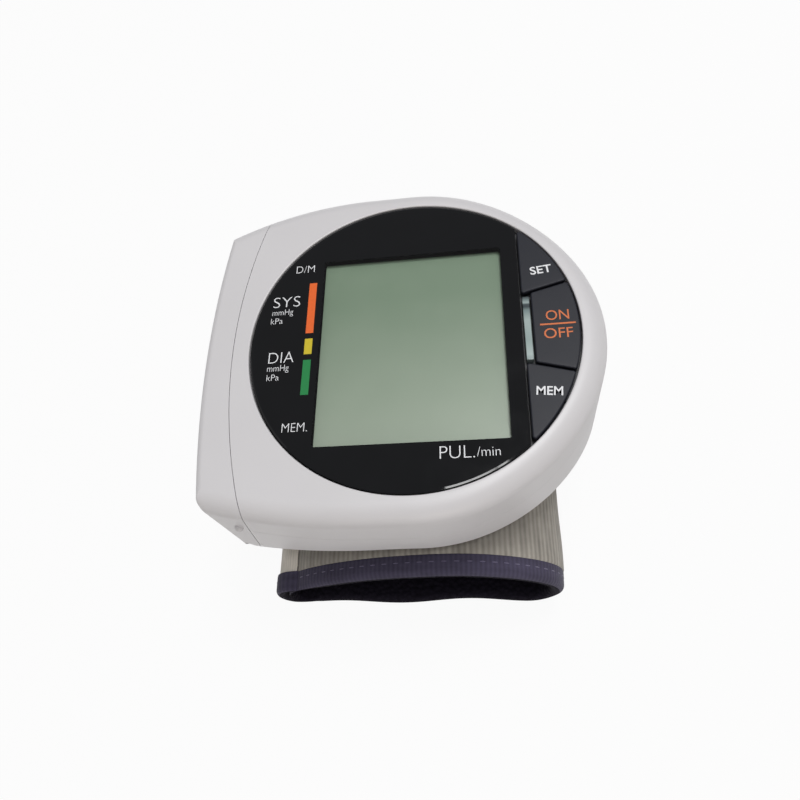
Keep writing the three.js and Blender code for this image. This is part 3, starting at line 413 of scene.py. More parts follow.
def fillet(z, radius):
    """How far a rounded edge below the front face is drawn in at a depth."""
    rise = z + radius
    return 0.0 if rise <= 0 else radius - math.sqrt(max(radius ** 2 - rise ** 2, 0.0))


def raised(outline, z):
    return [spot(x, y, z) for x, y in outline]


def front_edge():
    """Outlines of the rounded front edge of the case, from the wall up to the face."""
    outlines = []
    for degrees in range(0, 91, 6):
        z = SIDE_FILLET * math.sin(math.radians(degrees)) - SIDE_FILLET
        outlines.append(raised(case_outline(fillet(z, SIDE_FILLET), fillet(z, END_FILLET)), z))
    return outlines


def round_steps(radius, degrees=ROUND_STEPS):
    """How far points of a quarter round, which starts on a wall and ends on a top, lie from the two."""
    angles = [math.radians(d) for d in degrees]
    return [(radius * (1 - math.cos(a)), radius * (1 - math.sin(a))) for a in angles]


def seam_edge(radius, z, upward):
    """Outlines of the small round where a cover's wall ends at the seam, from the seam to the wall."""
    steps = round_steps(radius, (0, 30, 60, 90))
    return [raised(case_outline(inset, inset), z + (rise if upward else -rise)) for rise, inset in steps]


def hollow(top):
    """The space inside the case's walls and over its curved floor."""
    space = stack("hollow", [raised(case_outline(WALL, WALL), z) for z in (DEEP - 1, top)])
    combine(space, wrist_rod(BACK_RADIUS + WALL))
    return space


def cover_edge(y, z, shift):
    """Where the battery cover's bowed and leaning edge runs."""
    bow = COVER_LINE_RADIUS - math.sqrt(COVER_LINE_RADIUS ** 2 - y ** 2)
    return -COVER_LINE + bow + shift + COVER_LEAN * z


def cover_space(shift):
    """Everything on the battery cover's side of its edge."""
    outlines = []
    for z in (BELOW, 1.0):
        edge = [(cover_edge(y, z, shift), y) for y in spread(-COVER_HALF, COVER_HALF, 76)]
        outlines.append(raised(edge + [(-2 * REACH, COVER_HALF), (-2 * REACH, -COVER_HALF)], z))
    return stack("cover_space", outlines)


def side_half(x, radius):
    """Half height of the case where one of its sides draws in."""
    return RIM - radius + math.sqrt(radius ** 2 - (x + SIDE_STRAIGHT) ** 2)


def back_height(x):
    return BACK_CENTRE + math.sqrt(BACK_RADIUS ** 2 - x ** 2)


def lower_edge(radius):
    """Outlines down the case's wall, round its lower edge and in under the hollow back."""
    outlines = []
    for inset, rise in round_steps(radius):
        outlines.append([spot(x, y, back_height(x) + rise) for x, y in case_outline(inset, inset)])
    edge = case_outline(radius, radius)
    for share in (0.95, 0.88, 0.8, 0.7, 0.58, 0.44, 0.28, 0.12):
        outlines.append([spot(x * share, y * share, back_height(x * share)) for x, y in edge])
    return outlines


def corners_of(outline):
    """Each point of a closed outline, with the directions in which its edges come and leave."""
    for i, (x, y) in enumerate(outline):
        before, after = outline[i - 1], outline[(i + 1) % len(outline)]
        come = Vector((x - before[0], y - before[1])).normalized()
        yield x, y, come, Vector((after[0] - x, after[1] - y)).normalized()


def rounded(corners, radius, steps=6):
    """A closed outline with its sharp corners rounded."""
    points = []
    for x, y, come, leave in corners_of(corners):
        turn = come.angle_signed(leave, 0.0)
        if abs(turn) < math.radians(20):
            points.append((x, y))
            continue
        reach = radius * math.tan(abs(turn) / 2)
        side = Vector((-come.y, come.x)) * (1 if turn < 0 else -1)
        centre = Vector((x, y)) - come * reach + side * radius
        for step in range(steps + 1):
            swung = -side * radius
            swung.rotate(Matrix.Rotation(-turn * step / steps, 2))
            points.append((centre.x + swung.x, centre.y + swung.y))
    return points


def drawn_in(outline, inset):
    """A closed outline drawn in by a small amount."""
    area = sum(a[0] * b[1] - b[0] * a[1] for a, b in zip(outline, outline[1:] + outline[:1]))
    turn = 1 if area > 0 else -1
    points = []
    for x, y, come, leave in corners_of(outline):
        normal = Vector((-come.y - leave.y, come.x + leave.x)).normalized() * turn
        lean = max(normal.dot(Vector((-come.y, come.x)) * turn), 0.4)
        points.append((x + normal.x * inset / lean, y + normal.y * inset / lean))
    return points


def rounded_top(outline, z0, z1, radius):
    """Outlines of a flat piece with rounded upper edges."""
    steps = round_steps(radius, (0, 22, 45, 67, 90))
    return [raised(outline, z0)] + [raised(drawn_in(outline, inset), z1 - drop) for inset, drop in steps]


# Materials


def plug(material, node, inputs):
    """Puts values or links on a node's inputs."""
    for key, value in inputs.items():
        if isinstance(value, bpy.types.NodeSocket):
            material.node_tree.links.new(value, node.inputs[key])
        else:
            node.inputs[key].default_value = value


def add(material, kind, settings, inputs):
    """Adds a shader node with its settings, and with values or links on its inputs."""
    node = material.node_tree.nodes.new("ShaderNode" + kind)
    for key, value in settings.items():
        setattr(node, key, value)
    plug(material, node, inputs)
    return node


def blank(name):
    """A new material, its object coordinates and its UV."""
    material = bpy.data.materials.new(name)
    material.use_nodes = True
    place = add(material, "TexCoord", {}, {})
    return material, place.outputs["Object"], place.outputs["UV"]


def surfaced(material, inputs):
    """Sets the material's Principled shader."""
    plug(material, material.node_tree.nodes["Principled BSDF"], inputs)
    return material


def layered(material, share, first, second):
    """Makes the material's surface a mix of two shaders."""
    both = add(material, "MixShader", {}, {0: share, 1: first.outputs[0], 2: second.outputs[0]})
    plug(material, material.node_tree.nodes["Material Output"], {"Surface": both.outputs[0]})
    return material


def shaded(colour_value, share):
    return tuple(c * share for c in colour_value[:3]) + (1.0,)


def noise(material, vector, size, detail):
    node = add(material, "TexNoise", {}, {"Vector": vector, "Scale": 1 / size, "Detail": detail})
    return node.outputs["Fac"]


def ranged(material, value, low, high, start=0.0, stop=1.0):
    """A value taken from its own range, start to stop, to another."""
    return add(material, "MapRange", {}, {0: value, 1: start, 2: stop, 3: low, 4: high}).outputs[0]


def calc(material, operation, first, second, clamp=False):
    settings = {"operation": operation, "use_clamp": clamp}
    return add(material, "Math", settings, {0: first, 1: second}).outputs[0]


def between(material, share, first, second):
    """A value between two."""
    return add(material, "Mix", {"data_type": "FLOAT"}, {0: share, 2: first, 3: second}).outputs[0]


def mixed(material, share, first, second):
    """A colour between two."""
    return add(material, "Mix", {"data_type": "RGBA"}, {0: share, 6: first, 7: second}).outputs[2]


def mottled(material, share, colour_value, low, high):
    """A colour that varies between two shares of itself."""
    return mixed(material, share, shaded(colour_value, low), shaded(colour_value, high))


def bumped(material, height, depth, strength=1.0, invert=False):
    """A surface raised by a height, to a depth in millimetres."""
    inputs = {"Height": height, "Distance": depth * MM, "Strength": strength}
    return add(material, "Bump", {"invert": invert}, inputs).outputs[0]


def upward(material, place, half):
    """How far up a place is, from 0 to 1 over twice a half height in millimetres."""
    split = add(material, "SeparateXYZ", {}, {0: place})
    return ranged(material, split.outputs[1], 0.0, 1.0, -half * MM, half * MM)


def ramped(material, value, stops, sharp=False):
    """Colours along a value. The first and last stop are the two ends that a ramp starts with."""
    node = add(material, "ValToRGB", {}, {0: value})
    ramp = node.color_ramp
    if sharp:
        ramp.interpolation = "CONSTANT"
    for element, (position, colour_value) in zip(ramp.elements, (stops[0], stops[-1])):
        element.position = position
        element.color = colour_value
    for position, colour_value in stops[1:-1]:
        ramp.elements.new(position).color = colour_value
    return node.outputs[0]


def moulded(name, colour_value, roughness, grain, depth, uneven=0.04, specular=0.5):
    """Moulded plastic. A spark-eroded mould leaves a fine grain, drawn at the given millimetres so that it
    shows, and the colour and gloss vary a little where hands have worn it."""
    material, place, _ = blank(name)
    grains = noise(material, place, grain * MM, 2.0)
    worn = noise(material, place, 14 * MM, 4.0)
    return surfaced(material, {
        "Base Color": mottled(material, worn, colour_value, 1 - uneven, 1 + uneven),
        "Roughness": ranged(material, worn, roughness - 0.06, roughness + 0.06),
        "Normal": bumped(material, grains, depth, 0.5), "IOR": 1.53, "Specular IOR Level": specular})


def printed_acrylic(name, colour_value):
    """Acrylic lens with dark ink behind it: a polished sheet, with a few fine rubs in its gloss."""
    material, place, _ = blank(name)
    rubs = noise(material, place, 6 * MM, 6.0)
    return surfaced(material, {
        "Base Color": mottled(material, rubs, colour_value, 0.8, 1.25),
        "Roughness": ranged(material, rubs, 0.04, 0.11, 0.35, 0.75), "IOR": 1.49})


def clear_acrylic(name):
    """The bare window of the acrylic lens: it lets light through and mirrors a little on its outer faces,
    with faint rubs."""
    material, place, _ = blank(name)
    material.node_tree.nodes.remove(material.node_tree.nodes["Principled BSDF"])
    rubs = noise(material, place, 5 * MM, 6.0)
    through = add(material, "BsdfTransparent", {}, {"Color": (0.97, 0.975, 0.97, 1.0)})
    mirror = add(material, "BsdfGlossy", {}, {"Roughness": ranged(material, rubs, 0.05, 0.14)})
    angle = add(material, "Fresnel", {}, {"IOR": 1.49})
    surface = add(material, "NewGeometry", {}, {})
    share = calc(material, "SUBTRACT", angle.outputs[0], surface.outputs["Backfacing"], True)
    return layered(material, share, through, mirror)


def display_glass(name, top, bottom):
    """Blank liquid crystal display: green-grey polarised glass with painted shade over its top, which gives way to
    painted light towards its lower end, and the faint cloudiness of the polariser film."""
    material, place, _ = blank(name)
    split = add(material, "SeparateXYZ", {}, {0: place})
    low, high = (WINDOW_Y - WINDOW_HALF_Y) * MM, (WINDOW_Y + WINDOW_HALF_Y) * MM
    # Painted shade and light: darker over the top, paler towards the lower end
    painted_shade_fall = ranged(material, split.outputs[1], 0.0, 1.0, high - 8 * MM, low)
    haze = ranged(material, noise(material, place, 9 * MM, 3.0), -0.14, 0.14)
    tint = mixed(material, calc(material, "ADD", painted_shade_fall, haze, True), top, bottom)
    return surfaced(material, {"Base Color": tint, "Roughness": 0.35, "IOR": 1.52})


def ink(name, colour_value):
    """Screen-printed ink: matt, with the slightly uneven cover of a pulled print."""
    material, place, _ = blank(name)
    cover = noise(material, place, 0.6 * MM, 2.0)
    return surfaced(material, {"Base Color": mottled(material, cover, colour_value, 0.86, 1.06), "Roughness": 0.5})


def ribbed_cloth(name, colour_value, rib, depth, sheen, contrast=0.3, lengthwise=False):
    """Woven polyester: uneven ribs of weft over a fine warp, a fuzzy sheen, and wear that pales it here and
    there. The real thread is near a quarter of a millimetre, so the ribs are drawn coarser to show."""
    material, place, cloth = blank(name)
    ribs = add(material, "TexWave", {"bands_direction": "X"},
               {"Vector": cloth, "Scale": 0.314 / rib, "Distortion": 1.5, "Detail Scale": 0.4})
    slow, fast = 1 / (8 * rib), 0.7 / rib
    stretch = (slow, fast, 1.0) if lengthwise else (fast, slow, 1.0)
    along = add(material, "Mapping", {}, {"Vector": cloth, "Scale": stretch})
    slubs = noise(material, along.outputs[0], 1.0, 4.0)
    warp = noise(material, cloth, rib / 0.8, 3.0)
    yarn = between(material, 0.4, ribs.outputs["Fac"], warp)
    weave = between(material, 0.62, yarn, slubs)
    worn = noise(material, place, 7 * MM, 5.0)
    shade = ranged(material, between(material, 0.25, weave, worn), 0.0, 1.0, 0.3, 0.7)
    return surfaced(material, {
        "Base Color": mottled(material, shade, colour_value, 1 - contrast, 1 + contrast),
        "Normal": bumped(material, weave, depth, 0.7), "Roughness": 0.92, "Specular IOR Level": 0.2,
        "Sheen Weight": sheen, "Sheen Roughness": 0.5})


def napped_cloth(name, colour_value, nap):
    """Brushed nylon: a soft nap of loops with no clear weave, with painted shade in the hollows between the loops.
    """
    material, place, _ = blank(name)
    tufts_and_shade = add(material, "TexVoronoi", {}, {"Vector": place, "Scale": 1 / (nap * MM)}).outputs["Distance"]
    # Lighter on each loop and darker between them: painted shade in the nap
    return surfaced(material, {
        "Base Color": mottled(material, tufts_and_shade, colour_value, 1.3, 0.6),
        "Normal": bumped(material, tufts_and_shade, 0.3, 0.8, True), "Roughness": 0.95, "Specular IOR Level": 0.1,
        "Sheen Weight": 0.03})


def plated_steel(name, colour_value):
    """Nickel-plated spring steel: bright metal with fine draw marks along it."""
    material, place, _ = blank(name)
    stretch = add(material, "Mapping", {}, {"Vector": place, "Scale": (1.0, 0.15, 1.0)})
    marks = noise(material, stretch.outputs[0], 0.4 * MM, 3.0)
    return surfaced(material, {
        "Base Color": mottled(material, marks, colour_value, 0.9, 1.0),
        "Roughness": ranged(material, marks, 0.22, 0.4), "Metallic": 1.0})


def board_laminate(name):
    """Glass-fibre circuit board under green solder mask, with copper runs showing as paler lines."""
    material, place, _ = blank(name)
    runs = add(material, "TexBrick", {"offset": 0.37},
               {"Vector": place, "Color1": linear("#1c5434"), "Color2": linear("#1f5c39"),
                "Mortar": linear("#3f8a5a"), "Scale": 1 / (6 * MM), "Mortar Size": 0.04})
    return surfaced(material, {
        "Base Color": runs.outputs["Color"], "Normal": bumped(material, runs.outputs["Fac"], 0.04),
        "Roughness": 0.35})


def light_guide(name):
    """Clear moulded strip. Its colour along it is painted light and shade: pale stripes of painted highlight and
    reflection, and two dark stripes where its lamp holder shows below it in painted shade.
    """
    material, place, _ = blank(name)
    # Pale stripes are painted highlights and reflections, the dark ones painted shade over the lamp holder
    painted_light_bands = ((0.0, "#8e9c9b"), (0.08, "#a9b7b5"), (0.3, "#93a4a2"), (0.62, "#a2b0ae"), (0.78, "#748484"),
             (0.83, "#3a4347"), (0.87, "#414a4e"), (0.9, "#9aa8a8"), (0.95, "#707d7e"), (0.98, "#4a5355"))
    stops = [(position, linear(code)) for position, code in painted_light_bands]
    return surfaced(material, {
        "Base Color": ramped(material, upward(material, place, GUIDE_HALF), stops),
        "Roughness": ranged(material, noise(material, place, 1.2 * MM, 3.0), 0.12, 0.3), "IOR": 1.49})


def cell_jacket(name):
    """Printed film shrunk on a steel can: a dark jacket with a pale band, bare metal at the two ends."""
    material, place, _ = blank(name)
    along = upward(material, place, CELL_HALF)
    can, film = linear("#c2c4c6"), linear("#2f3a46")
    stops = ((0.0, can), (0.015, film), (0.7, linear("#b8a06a")), (0.73, film), (0.985, can))
    bare = (1.0, 1.0, 1.0, 1.0)
    metal = ((0.0, bare), (0.015, (0.15, 0.15, 0.15, 1.0)), (0.985, bare))
    return surfaced(material, {
        "Base Color": ramped(material, along, stops, True), "Metallic": ramped(material, along, metal, True),
        "Roughness": ranged(material, noise(material, place, 3 * MM, 4.0), 0.25, 0.42)})


finishes = {}


def make_finishes(colours, sizes):
    finishes.update(
        case=moulded("abs_white_moulded", colours.case, 0.42, 0.3, 0.012, 0.025),
        lens=printed_acrylic("acrylic_black_printed", colours.lens),
        window=clear_acrylic("acrylic_clear"),
        button=moulded("abs_slate_moulded", colours.button, 0.5, 0.28, 0.02, 0.07, 0.3),
        display=display_glass("display_glass_green_grey", colours.display_shaded_top, colours.display_lit_bottom),
        white_ink=ink("ink_white", colours.white_ink),
        high_ink=ink("ink_orange", colours.high_ink),
        middle_ink=ink("ink_yellow", colours.middle_ink),
        low_ink=ink("ink_green", colours.low_ink),
        power_ink=ink("ink_warm_orange", colours.power_ink),
        guide=light_guide("acrylic_light_strip"),
        fabric=ribbed_cloth("polyester_ribbed_grey", colours.fabric, sizes.fabric_rib, 0.3, 0.15, 0.36),
        binding=ribbed_cloth("polyester_tape_plum", colours.binding, sizes.tape_rib, 0.2, 0.12, 0.28, True),
        thread=ribbed_cloth("polyester_thread_plum", shaded(colours.binding, 2.2), 0.5 * MM, 0.1, 0.3),
        # The flap's cloth is the fabric's colour made 2.5 times paler: partly a smoother, paler cloth, partly
        # painted light where the flap is lit from the left
        flap=ribbed_cloth("polyester_smooth_grey_and_painted_light", shaded(colours.fabric, 2.5), 0.5 * MM, 0.1, 0.3, 0.15),
        lining=napped_cloth("nylon_brushed_black", colours.lining, 0.9),
        hooks=napped_cloth("nylon_hook_tape", shaded(colours.lining, 1.6), 0.7),
        holder=moulded("polycarbonate_white", linear("#d8d8d4"), 0.55, 0.3, 0.01),
        elastomer=moulded("silicone_zebra_strip", linear("#5a4e58"), 0.75, 0.2, 0.02, 0.12),
        black=moulded("abs_black_moulded", linear("#242528"), 0.5, 0.3, 0.015, 0.1),
        clear=moulded("acrylic_frosted", linear("#c8d8d6"), 0.25, 0.5, 0.005, 0.05),
        tube=moulded("silicone_rubber", linear("#d4d0c6"), 0.55, 0.4, 0.01, 0.05),
        bladder=moulded("vinyl_sheet", linear("#a8a49a"), 0.4, 1.2, 0.05, 0.08),
        stiffener=moulded("polypropylene_sheet", linear("#c4c0b4"), 0.45, 0.8, 0.02, 0.06),
        steel=plated_steel("steel_nickel_plated", linear("#b9bbbd")),
        board=board_laminate("glass_fibre_board"),
        cell=cell_jacket("cell_printed_film"),
    )


# Case


def make_front_cover(sizes):
    outer = case_outline(0, 0)
    outlines = seam_edge(sizes.seam_round / MM, SEAM_GAP / 2 - SEAM_DEPTH, True)
    outlines += [raised(outer, FRONT_WALL)] + front_edge()
    turns = [math.atan2(y, x) for x, y in outer]
    rings = [(RECESS + inset, -drop) for drop, inset in round_steps(sizes.lip_round / MM)]
    for radius, z in rings + [(RECESS, DECK_TOP)]:
        outlines.append([spot(radius * math.cos(a), radius * math.sin(a), z) for a in turns])
    cover = stack("front_cover_shell", outlines)
    combine(cover, stack("space", [raised(case_outline(WALL, WALL), z) for z in (REAR_WALL, DECK_BOTTOM)]))
    half_x, half_y = WINDOW_HALF_X + DISPLAY_ROOM, WINDOW_HALF_Y + DISPLAY_ROOM
    combine(cover, block(-half_x, half_x, WINDOW_Y - half_y, WINDOW_Y + half_y, DECK_CUT[0], DISPLAY_TOP))
    half_x, half_y = STEM_HALF_X + ROOM, STEM_HALF_Y + ROOM
    for y in (-STEM_Y, 0, STEM_Y):
        combine(cover, block(STEM_X - half_x, STEM_X + half_x, y - half_y, y + half_y, *DECK_CUT))
    combine(cover, block(GUIDE_LEFT, GUIDE_RIGHT, -GUIDE_FOOT - ROOM, GUIDE_FOOT + ROOM, *DECK_CUT))
    combine(cover, cover_space(LINE_GAP / 2))
    smooth(cover)
    # The recess floor at the deck's height takes the black plastic: painted shade for the dark gaps round the
    # button caps and the lens
    for face in cover.data.polygons:
        face.material_index = int(face.normal.z > 0.9 and abs(face.center.z / MM - FACE - DECK_TOP) < 0.05)
    dress(cover, "monitor", "white_case", finishes["case"], finishes["black"])
    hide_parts("front_cover")


def screw_places(names):
    """Where packed screws stand, seen from the front."""
    boxes = [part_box(name) for name in names]
    return [((low.x + high.x) / 2 / MM - MIDDLE, (low.y + high.y) / 2 / MM) for low, high in boxes]


def make_rear_cover(sizes):
    walls = [raised(case_outline(0, 0), REAR_WALL)] + lower_edge(sizes.lower_round / MM)
    seam = seam_edge(sizes.seam_round / MM, -SEAM_DEPTH - SEAM_GAP / 2, False)
    cover = stack("rear_cover_shell", seam + walls)
    space = hollow(SPACE_TOP)
    screws = screw_places(CASE_SCREWS)
    ribs = (BAY_RIB, (-BAY_RIB[1], -BAY_RIB[0]))
    for x, y in screws:
        combine(space, post(x, y, BOSS, BELOW, FLOOR_TOP))
    for rib in ribs:
        combine(space, block(-2 * REACH, BAY_END[1], *rib, BELOW, FLOOR_TOP))
    combine(space, block(*BAY_END, -BAY_HALF, BAY_HALF, BELOW, FLOOR_TOP))
    combine(cover, space)
    for x, y in screws:
        combine(cover, post(x, y, SCREW_HEAD, BELOW, HEAD_TOP))
        combine(cover, post(x, y, SCREW_SHANK, SHANK_BOTTOM, FLOOR_TOP))
    for x, y in screw_places(PLATE_SCREWS):
        combine(cover, post(x, y, PLATE_SCREW, BELOW, FLOOR_TOP))
    combine(cover, post(AIR_X, AIR_Y, AIR_HOLE, BELOW, REAR_WALL))
    for rib in ribs:
        combine(cover, block(-REACH + 2, BAY_END[1], *rib, BAY_FOOT, BAY_RIB_TOP), "UNION")
    combine(cover, block(*BAY_END, -BAY_HALF, BAY_HALF, BAY_FOOT, BAY_END_TOP), "UNION")
    combine(cover, cover_space(LINE_GAP / 2))
    smooth(cover)
    dress(cover, "monitor", "white_case", finishes["case"])
    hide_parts("rear_cover")


class MONITOR_OT_covers(bpy.types.Operator):
    """Model the front and rear covers of the case"""
    bl_idname = "monitor.covers"
    bl_label = "Case Covers"

    def execute(self, context):
        sizes = context.scene.monitor_sizes
        make_front_cover(sizes)
        make_rear_cover(sizes)
        return {"FINISHED"}


class MONITOR_OT_battery_cover(bpy.types.Operator):
    """Model the battery cover with its grip nub, nail notches and tongues"""
    bl_idname = "monitor.battery_cover"
    bl_label = "Battery Cover"

    def execute(self, context):
        lower = lower_edge(context.scene.monitor_sizes.lower_round / MM)
        outlines = lower[::-1] + [raised(case_outline(0, 0), REAR_WALL)] + front_edge()
        cover = stack("battery_cover_shell", outlines)
        combine(cover, hollow(-WALL))
        combine(cover, cover_space(-LINE_GAP / 2), "INTERSECT")
        for side in (-1, 1):
            place = spot(NOTCH_X, side * NOTCH_Y, back_height(NOTCH_X) + NOTCH_RISE)
            bpy.ops.mesh.primitive_cylinder_add(vertices=24, radius=NOTCH_RADIUS * MM, depth=NOTCH_LENGTH * MM,
                                                location=place, rotation=(math.pi / 2, 0, 0))
            combine(cover, bpy.context.object)
        place = spot(NUB_X, NUB_SUNK - side_half(NUB_X, LOWER_SIDE_RADIUS), NUB_Z)
        bpy.ops.mesh.primitive_uv_sphere_add(segments=32, ring_count=16, radius=MM, location=place,
                                             scale=NUB_RADII)
        combine(cover, bpy.context.object, "UNION")
        line_x = cover_edge(BAY_RIB[0], TONGUE_BOTTOM, 0)
        for side, radius in ((-1, LOWER_SIDE_RADIUS), (1, SIDE_RADIUS)):
            outer = side_half(line_x, radius) - WALL - TONGUE_GAP
            y0, y1 = sorted((side * (outer - TONGUE), side * outer))
            x0, x1 = -REACH + CORNER + WALL, line_x + TONGUE_REACH
            combine(cover, block(x0, x1, y0, y1, TONGUE_BOTTOM, TONGUE_TOP), "UNION")
        smooth(cover)
        dress(cover, "battery_cover", "white_case", finishes["case"])
        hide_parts("battery_cover")
        return {"FINISHED"}


# Lens, display and printed marks


def lens_outline(inset):
    radius, chord = LENS_RADIUS - inset, LENS_CHORD - inset
    turn = math.acos(chord / radius)
    half = radius * math.sin(turn)
    edge = [(chord, y) for y in spread(-half, half, 40)[:-1]]
    return arc(0, 0, radius, turn, 2 * math.pi - turn, 200) + edge


def window_outline(outline):
    """The window's edge, met from its middle in the directions of an outline's points."""
    points = []
    for x, y in outline:
        share = 1 / max(abs(x) / WINDOW_HALF_X, abs(y - WINDOW_Y) / WINDOW_HALF_Y)
        points.append((x * share, WINDOW_Y + (y - WINDOW_Y) * share))
    return points


def print_slot(body):
    return "black_lens" if body == "monitor" else "slate_button"


def printed_word(name, words, x, y, size, body, material, turn=0.0, bold=0.0, wide=1.0, z=LENS_TOP):
    """One printed word, laid on the face with its middle at a point. Size is the height of its capitals."""
    bpy.ops.object.select_all(action="DESELECT")
    bpy.ops.object.text_add()
    text = bpy.context.object.data
    text.body = words
    text.align_x = text.align_y = "CENTER"
    text.offset = bold
    text.extrude = WORD_DEPTH
    text.resolution_u = 4
    bpy.ops.object.convert(target="MESH")
    word = bpy.context.object
    word.name = word.data.name = name
    corners = [v.co for v in word.data.vertices]
    middle = Vector([(min(c[i] for c in corners) + max(c[i] for c in corners)) / 2 for i in range(3)])
    scale = size * MM / CAPITAL
    height = bpy.context.scene.monitor_sizes.print_height / (2 * WORD_DEPTH)
    flat = Matrix.Diagonal((scale * wide, scale, height, 1.0))
    lie = Matrix.Rotation(math.radians(turn), 4, "Z")
    word.data.transform(Matrix.Translation(spot(x, y, z)) @ lie @ flat @ Matrix.Translation(-middle))
    dress(word, body, print_slot(body), material)


def printed_bar(name, x0, x1, y0, y1, body, material, z=LENS_TOP):
    height = bpy.context.scene.monitor_sizes.print_height / MM
    outline = rounded([(x0, y0), (x1, y0), (x1, y1), (x0, y1)], 0.06, 3)
    bar = stack(name, [raised(outline, z - height), raised(outline, z + height)])
    dress(bar, body, print_slot(body), material)


class MONITOR_OT_lens(bpy.types.Operator):
    """Model the lens with its clear window, and print the marks and words on it"""
    bl_idname = "monitor.lens"
    bl_label = "Lens and Display"

    def execute(self, context):
        chamfer = context.scene.monitor_sizes.lens_chamfer / MM
        outer = lens_outline(0)
        window = window_outline(outer)
        lens = stack("display_lens_sheet", [
            raised(window, LENS_BOTTOM), raised(outer, LENS_BOTTOM),
            raised(outer, LENS_TOP - chamfer * CHAMFER_SLOPE), raised(lens_outline(chamfer), LENS_TOP),
            raised(lens_outline(chamfer + 0.1), LENS_TOP), raised(window, LENS_TOP)])
        for face in lens.data.polygons:
            face.material_index = int(closes_end(lens, face))
        smooth(lens, 8)
        dress(lens, "monitor", "black_lens", finishes["lens"], finishes["window"])
        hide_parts("display_lens")
        for name, words, x, y, size, wide, bold in (
            ("mark_day_month", "D/M", -20.6, 16.8, 1.7, 0.9, -0.014),
            ("mark_systolic", "SYS", -23.7, 9.4, 2.4, 1.06, -0.016),
            ("mark_systolic_mmhg", "mmHg", -24.3, 6.9, 1.3, 0.82, -0.012),
            ("mark_systolic_kpa", "kPa", -25.3, 5.2, 1.3, 0.92, -0.012),
            ("mark_diastolic", "DIA", -23.7, -2.8, 2.35, 0.9, -0.016),
            ("mark_diastolic_mmhg", "mmHg", -24.1, -5.2, 1.3, 0.82, -0.012),
            ("mark_diastolic_kpa", "kPa", -24.9, -6.9, 1.3, 0.92, -0.012),
            ("mark_memory", "MEM.", -20.0, -17.0, 1.75, 0.84, -0.016),
            ("mark_pulse", "PUL.", 7.9, -22.9, 2.3, 0.97, -0.018),
            ("mark_per_minute", "/min", 13.0, -23.0, 1.7, 0.92, -0.014),
        ):
            printed_word(name, words, x, y, size, "monitor", finishes["white_ink"], 0, bold, wide)
        for rank, low, high in (("high", 2.05, 13.3), ("middle", -2.45, 0.85), ("low", -10.75, -3.65)):
            printed_bar("mark_" + rank, MARK_LEFT, MARK_RIGHT, low, high, "monitor", finishes[rank + "_ink"])
        return {"FINISHED"}


# Buttons


def rim_turn(x, y):
    """Direction from the lens centre to where a cap's slanting edge, from a point, meets the rim."""
    dx, dy = math.cos(CAP_SLOPE), math.sin(CAP_SLOPE)
    b = x * dx + y * dy
    reach = -b + math.sqrt(b * b - (x * x + y * y - LENS_RADIUS ** 2))
    return math.atan2(y + dy * reach, x + dx * reach)


def cap_outline(x, top, bottom, start, stop):
    """A slice of the round recess beside the lens."""
    rim = arc(0, 0, LENS_RADIUS, start, stop, 22)
    rim.append((LENS_RADIUS * math.cos(stop), LENS_RADIUS * math.sin(stop)))
    return [(x, top), (x, bottom)] + rim


